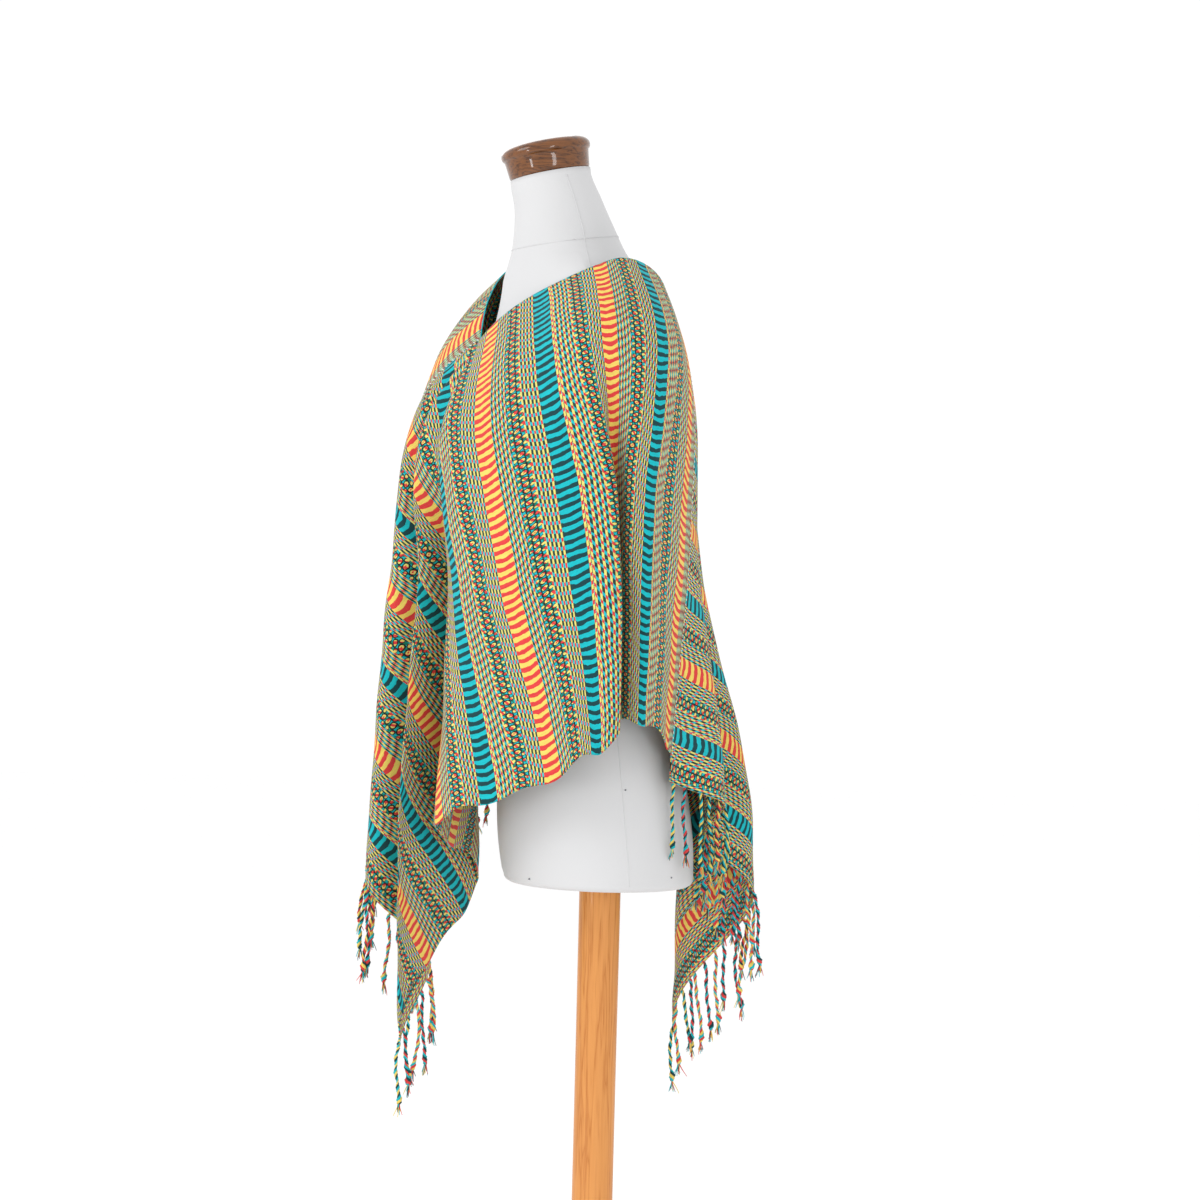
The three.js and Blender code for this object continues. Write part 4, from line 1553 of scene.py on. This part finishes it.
@dataclass
class DressForm:
    """The limbless form: covered body, seams and pins, neck cap, pole and foot."""

    palette: Palette
    sides: int = 112
    seam_radius: float = 0.6

    def body(self) -> bpy.types.Object:
        """The smooth covered body with a rounded lower edge.

        Returns:
            The object.
        """
        rings = [torso_ring(TORSO_BOTTOM, self.sides, s) for s in (60.0, 9.0)]
        for turn in np.radians((20, 45, 70, 90)):
            ring = torso_ring(TORSO_BOTTOM, self.sides, 7 - 7 * math.sin(turn))
            ring[:, 2] += 7 - 7 * math.cos(turn)
            rings.append(ring)
        heights = np.linspace(TORSO_BOTTOM + 14, TORSO[-1][0], 110)
        rings.extend(torso_ring(z, self.sides) for z in heights)
        obj = new_object("form_body", np.concatenate(rings), ring_faces(len(rings), self.sides))
        obj.data.materials.append(self.palette.cover)
        return obj

    def seams(self, tubes: bpy.types.NodeTree) -> bpy.types.Object:
        """Seam ridges and pins of the cover.

        Args:
            tubes: The geometry group for tubes.

        Returns:
            The seams as one object.
        """
        lines = [on_form([(a, z) for z in np.arange(704, 1300, 8)], -0.2) for a in (8, 188)]
        round_neck = [(float(a), 1396 + 9 * math.sin(math.radians(a))) for a in range(0, 361, 4)]
        lines.append(on_form(round_neck, 0.1))
        for start, way in ((15, -0.05), (165, 0.05)):
            shoulder = [(start + (1466 - z) * way, z) for z in np.arange(1330, 1468, 5)]
            lines.append(on_form(shoulder, 0.15))
        radii = [np.full(len(line), self.seam_radius) for line in lines]
        curve = add_curves("form_seam_lines", lines, radii)
        seam = grown(curve, tubes, {"Sides": 6, "Material": self.palette.cover})
        rise = np.array([[0, 0, 0.9], [0, 0, 0.3], [0, 0, -0.3], [0, 0, -0.9]])
        pins = [on_form([place], 0.2)[0] + rise for place in PINS]
        curve = add_curves("form_pins", pins, [np.array([0.4, 1.1, 1.1, 0.4])] * len(pins))
        pin = grown(curve, tubes, {"Sides": 8, "Material": self.palette.pin})
        return joined("form_seams", [seam, pin])

    def cap(self) -> bpy.types.Object:
        """The turned wooden cap on the neck.

        Returns:
            The object.
        """
        verts, faces = lathe(CAP_PROFILE, 96)
        c, s = math.cos(CAP_TILT), math.sin(CAP_TILT)
        turned = verts @ np.array([[1, 0, 0], [0, c, s], [0, -s, c]])
        obj = new_object("cap_turned", turned + np.array([0.0, CAP_SEAT_Y, CAP_SEAT_Z]), faces)
        obj.data.materials.append(self.palette.cap)
        return obj

    def pole(self) -> bpy.types.Object:
        """The turned pole.

        Returns:
            The object.
        """
        top, foot = TORSO_BOTTOM - 0.3, BASE_H + 20.3
        profile = [(0, foot), (POLE_R - 1, foot), (POLE_R, foot + 1)]
        profile += [(POLE_R + 0.15 * math.sin(z / 90), z) for z in np.linspace(foot + 10, top - 10, 40)]
        profile += [(POLE_R, top - 1), (POLE_R - 1, top), (0, top)]
        obj = new_object("pole_turned", *lathe(profile, 64))
        obj.data.materials.append(self.palette.pole)
        return obj

    def foot(self) -> bpy.types.Object:
        """The plain round foot.

        Returns:
            The object.
        """
        edge = [(math.cos(a), math.sin(a)) for a in np.radians((20, 40, 60, 80, 90))]
        profile = [(0, 0), (BASE_R - 3, 0), (BASE_R - 0.8, 0.9), (BASE_R, 3), (BASE_R, BASE_H - 7)]
        profile += [(BASE_R - 7 + 7 * c, BASE_H - 7 + 7 * s) for c, s in edge]
        profile += [(r, BASE_H + up) for r, up in COLLAR_PROFILE]
        obj = new_object("foot_turned", *lathe(profile, 96))
        obj.data.materials.append(self.palette.pole)
        return obj


# Studio


@dataclass(frozen=True)
class Lamp:
    """One soft area light, placed from the camera's side of the form, in metres."""

    name: str
    side: float
    out: float
    up: float
    size: tuple[float, float]
    power: float

    def add(self, right: np.ndarray, toward: np.ndarray) -> None:
        """Adds the light, aimed at the middle of the cloth.

        Args:
            right: Direction to the right in the image.
            toward: Direction from the form to the camera.
        """
        data = bpy.data.lights.new(self.name, "AREA")
        data.shape = "RECTANGLE"
        data.size, data.size_y = self.size
        data.energy = self.power
        lamp = bpy.data.objects.new(self.name, data)
        spot = right * self.side + toward * self.out + np.array([0.0, 0.0, self.up])
        aim = np.array([0.0, -0.04, 1.05]) - spot
        lamp.location = spot.tolist()
        tilt = math.atan2(math.hypot(aim[0], aim[1]), -aim[2])
        lamp.rotation_euler = (tilt, 0.0, math.atan2(aim[1], aim[0]) - math.pi / 2)
        bpy.context.scene.collection.objects.link(lamp)


LAMPS = (
    Lamp("window_narrow", -2.1, 2.1, 0.85, (0.3, 0.9), 9.0),
    Lamp("window_wide", 0.95, 2.7, 0.95, (0.5, 0.9), 11.0),
    Lamp("key", -2.3, 1.0, 2.5, (1.3, 1.3), 22.0),
    Lamp("rim", -0.6, -1.9, 2.4, (1.2, 1.2), 5.0),
)


def make_studio(palette: Palette) -> None:
    """Floor, world, lights and the camera at the photograph's viewing angle.

    Args:
        palette: The materials.
    """
    scene = bpy.context.scene
    angles = np.linspace(0, 2 * math.pi, 64, endpoint=False)
    ring = np.stack([14000 * np.cos(angles), 14000 * np.sin(angles), np.zeros(64)], axis=1)
    floor = new_object("studio_floor", ring, [list(range(64))])
    floor.data.materials.append(palette.floor)

    world = bpy.data.worlds.new("studio")
    scene.world = world
    world.use_nodes = True
    back = world.node_tree.nodes["Background"]
    back.inputs["Color"].default_value = (1.0, 1.0, 1.0, 1.0)
    back.inputs["Strength"].default_value = 1.04

    toward = np.array([math.sin(CAMERA_TURN), -math.cos(CAMERA_TURN), 0.0])
    right = np.array([math.cos(CAMERA_TURN), math.sin(CAMERA_TURN), 0.0])
    for lamp in LAMPS:
        lamp.add(right, toward)

    data = bpy.data.cameras.new("camera")
    data.lens = 95.45
    data.sensor_width = 36.0
    data.clip_end = 100.0
    camera = bpy.data.objects.new("camera", data)
    camera.location = (-8.25 * MM * right + 3.5 * toward + np.array([0.0, 0.0, 1.007])).tolist()
    camera.rotation_euler = (math.pi / 2, -CAMERA_ROLL, CAMERA_TURN)
    scene.collection.objects.link(camera)
    scene.camera = camera
    scene.view_settings.view_transform = "Standard"


def dress(obj: bpy.types.Object, nodes: Sequence[str] = ()) -> None:
    """Puts a piece on the frame.

    Args:
        obj: The piece.
        nodes: CAD nodes that it stands for.
    """
    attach(obj, "root")
    if nodes:
        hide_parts(*nodes)


def make_poncho(palette: Palette, tubes: bpy.types.NodeTree) -> None:
    """Both panels with their fringes, selvedges and seams.

    Args:
        palette: The materials.
        tubes: The geometry group for yarn.
    """
    drape, stitches = Drape(), stitch_group()
    for side, end, part, free, creases in (
        ("left", "front", 0, FREE_LEFT, LEFT_CREASES),
        ("right", "back", 2, FREE_RIGHT, RIGHT_CREASES),
    ):
        panel = Panel(f"cloth_{side}", part, free, creases, drape)
        cloth = panel.build(palette)
        fringe = Fringe(panel, f"cords_{end}").build(palette, tubes)
        edge = make_selvedge(panel, palette, tubes)
        seam = make_seam(panel, f"{end}_seam_stitches", palette, stitches)
        dress(cloth, [f"panel_{side}"])
        dress(fringe, [f"fringe_{end}"])
        dress(edge)
        dress(seam)
        counts = [len(obj.data.polygons) for obj in (cloth, fringe)]
        LOG.info("%s: %d faces, fringe %d faces", panel.name, *counts)


def main() -> None:
    """Builds the scene and reports on it."""
    logging.basicConfig(level=logging.INFO, format="%(name)s: %(message)s")
    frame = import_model()
    LOG.info("frame loaded: %s", type(frame).__name__)
    palette = make_palette()
    make_studio(palette)

    tubes = tube_group()
    form = DressForm(palette)
    body = form.body()
    dress(body, ["torso_form"])
    dress(form.seams(tubes))
    dress(form.cap(), ["neck_cap"])
    dress(form.pole(), ["stand_pole"])
    dress(form.foot(), ["stand_base"])
    make_poncho(palette, tubes)


if __name__ == "__main__":
    main()
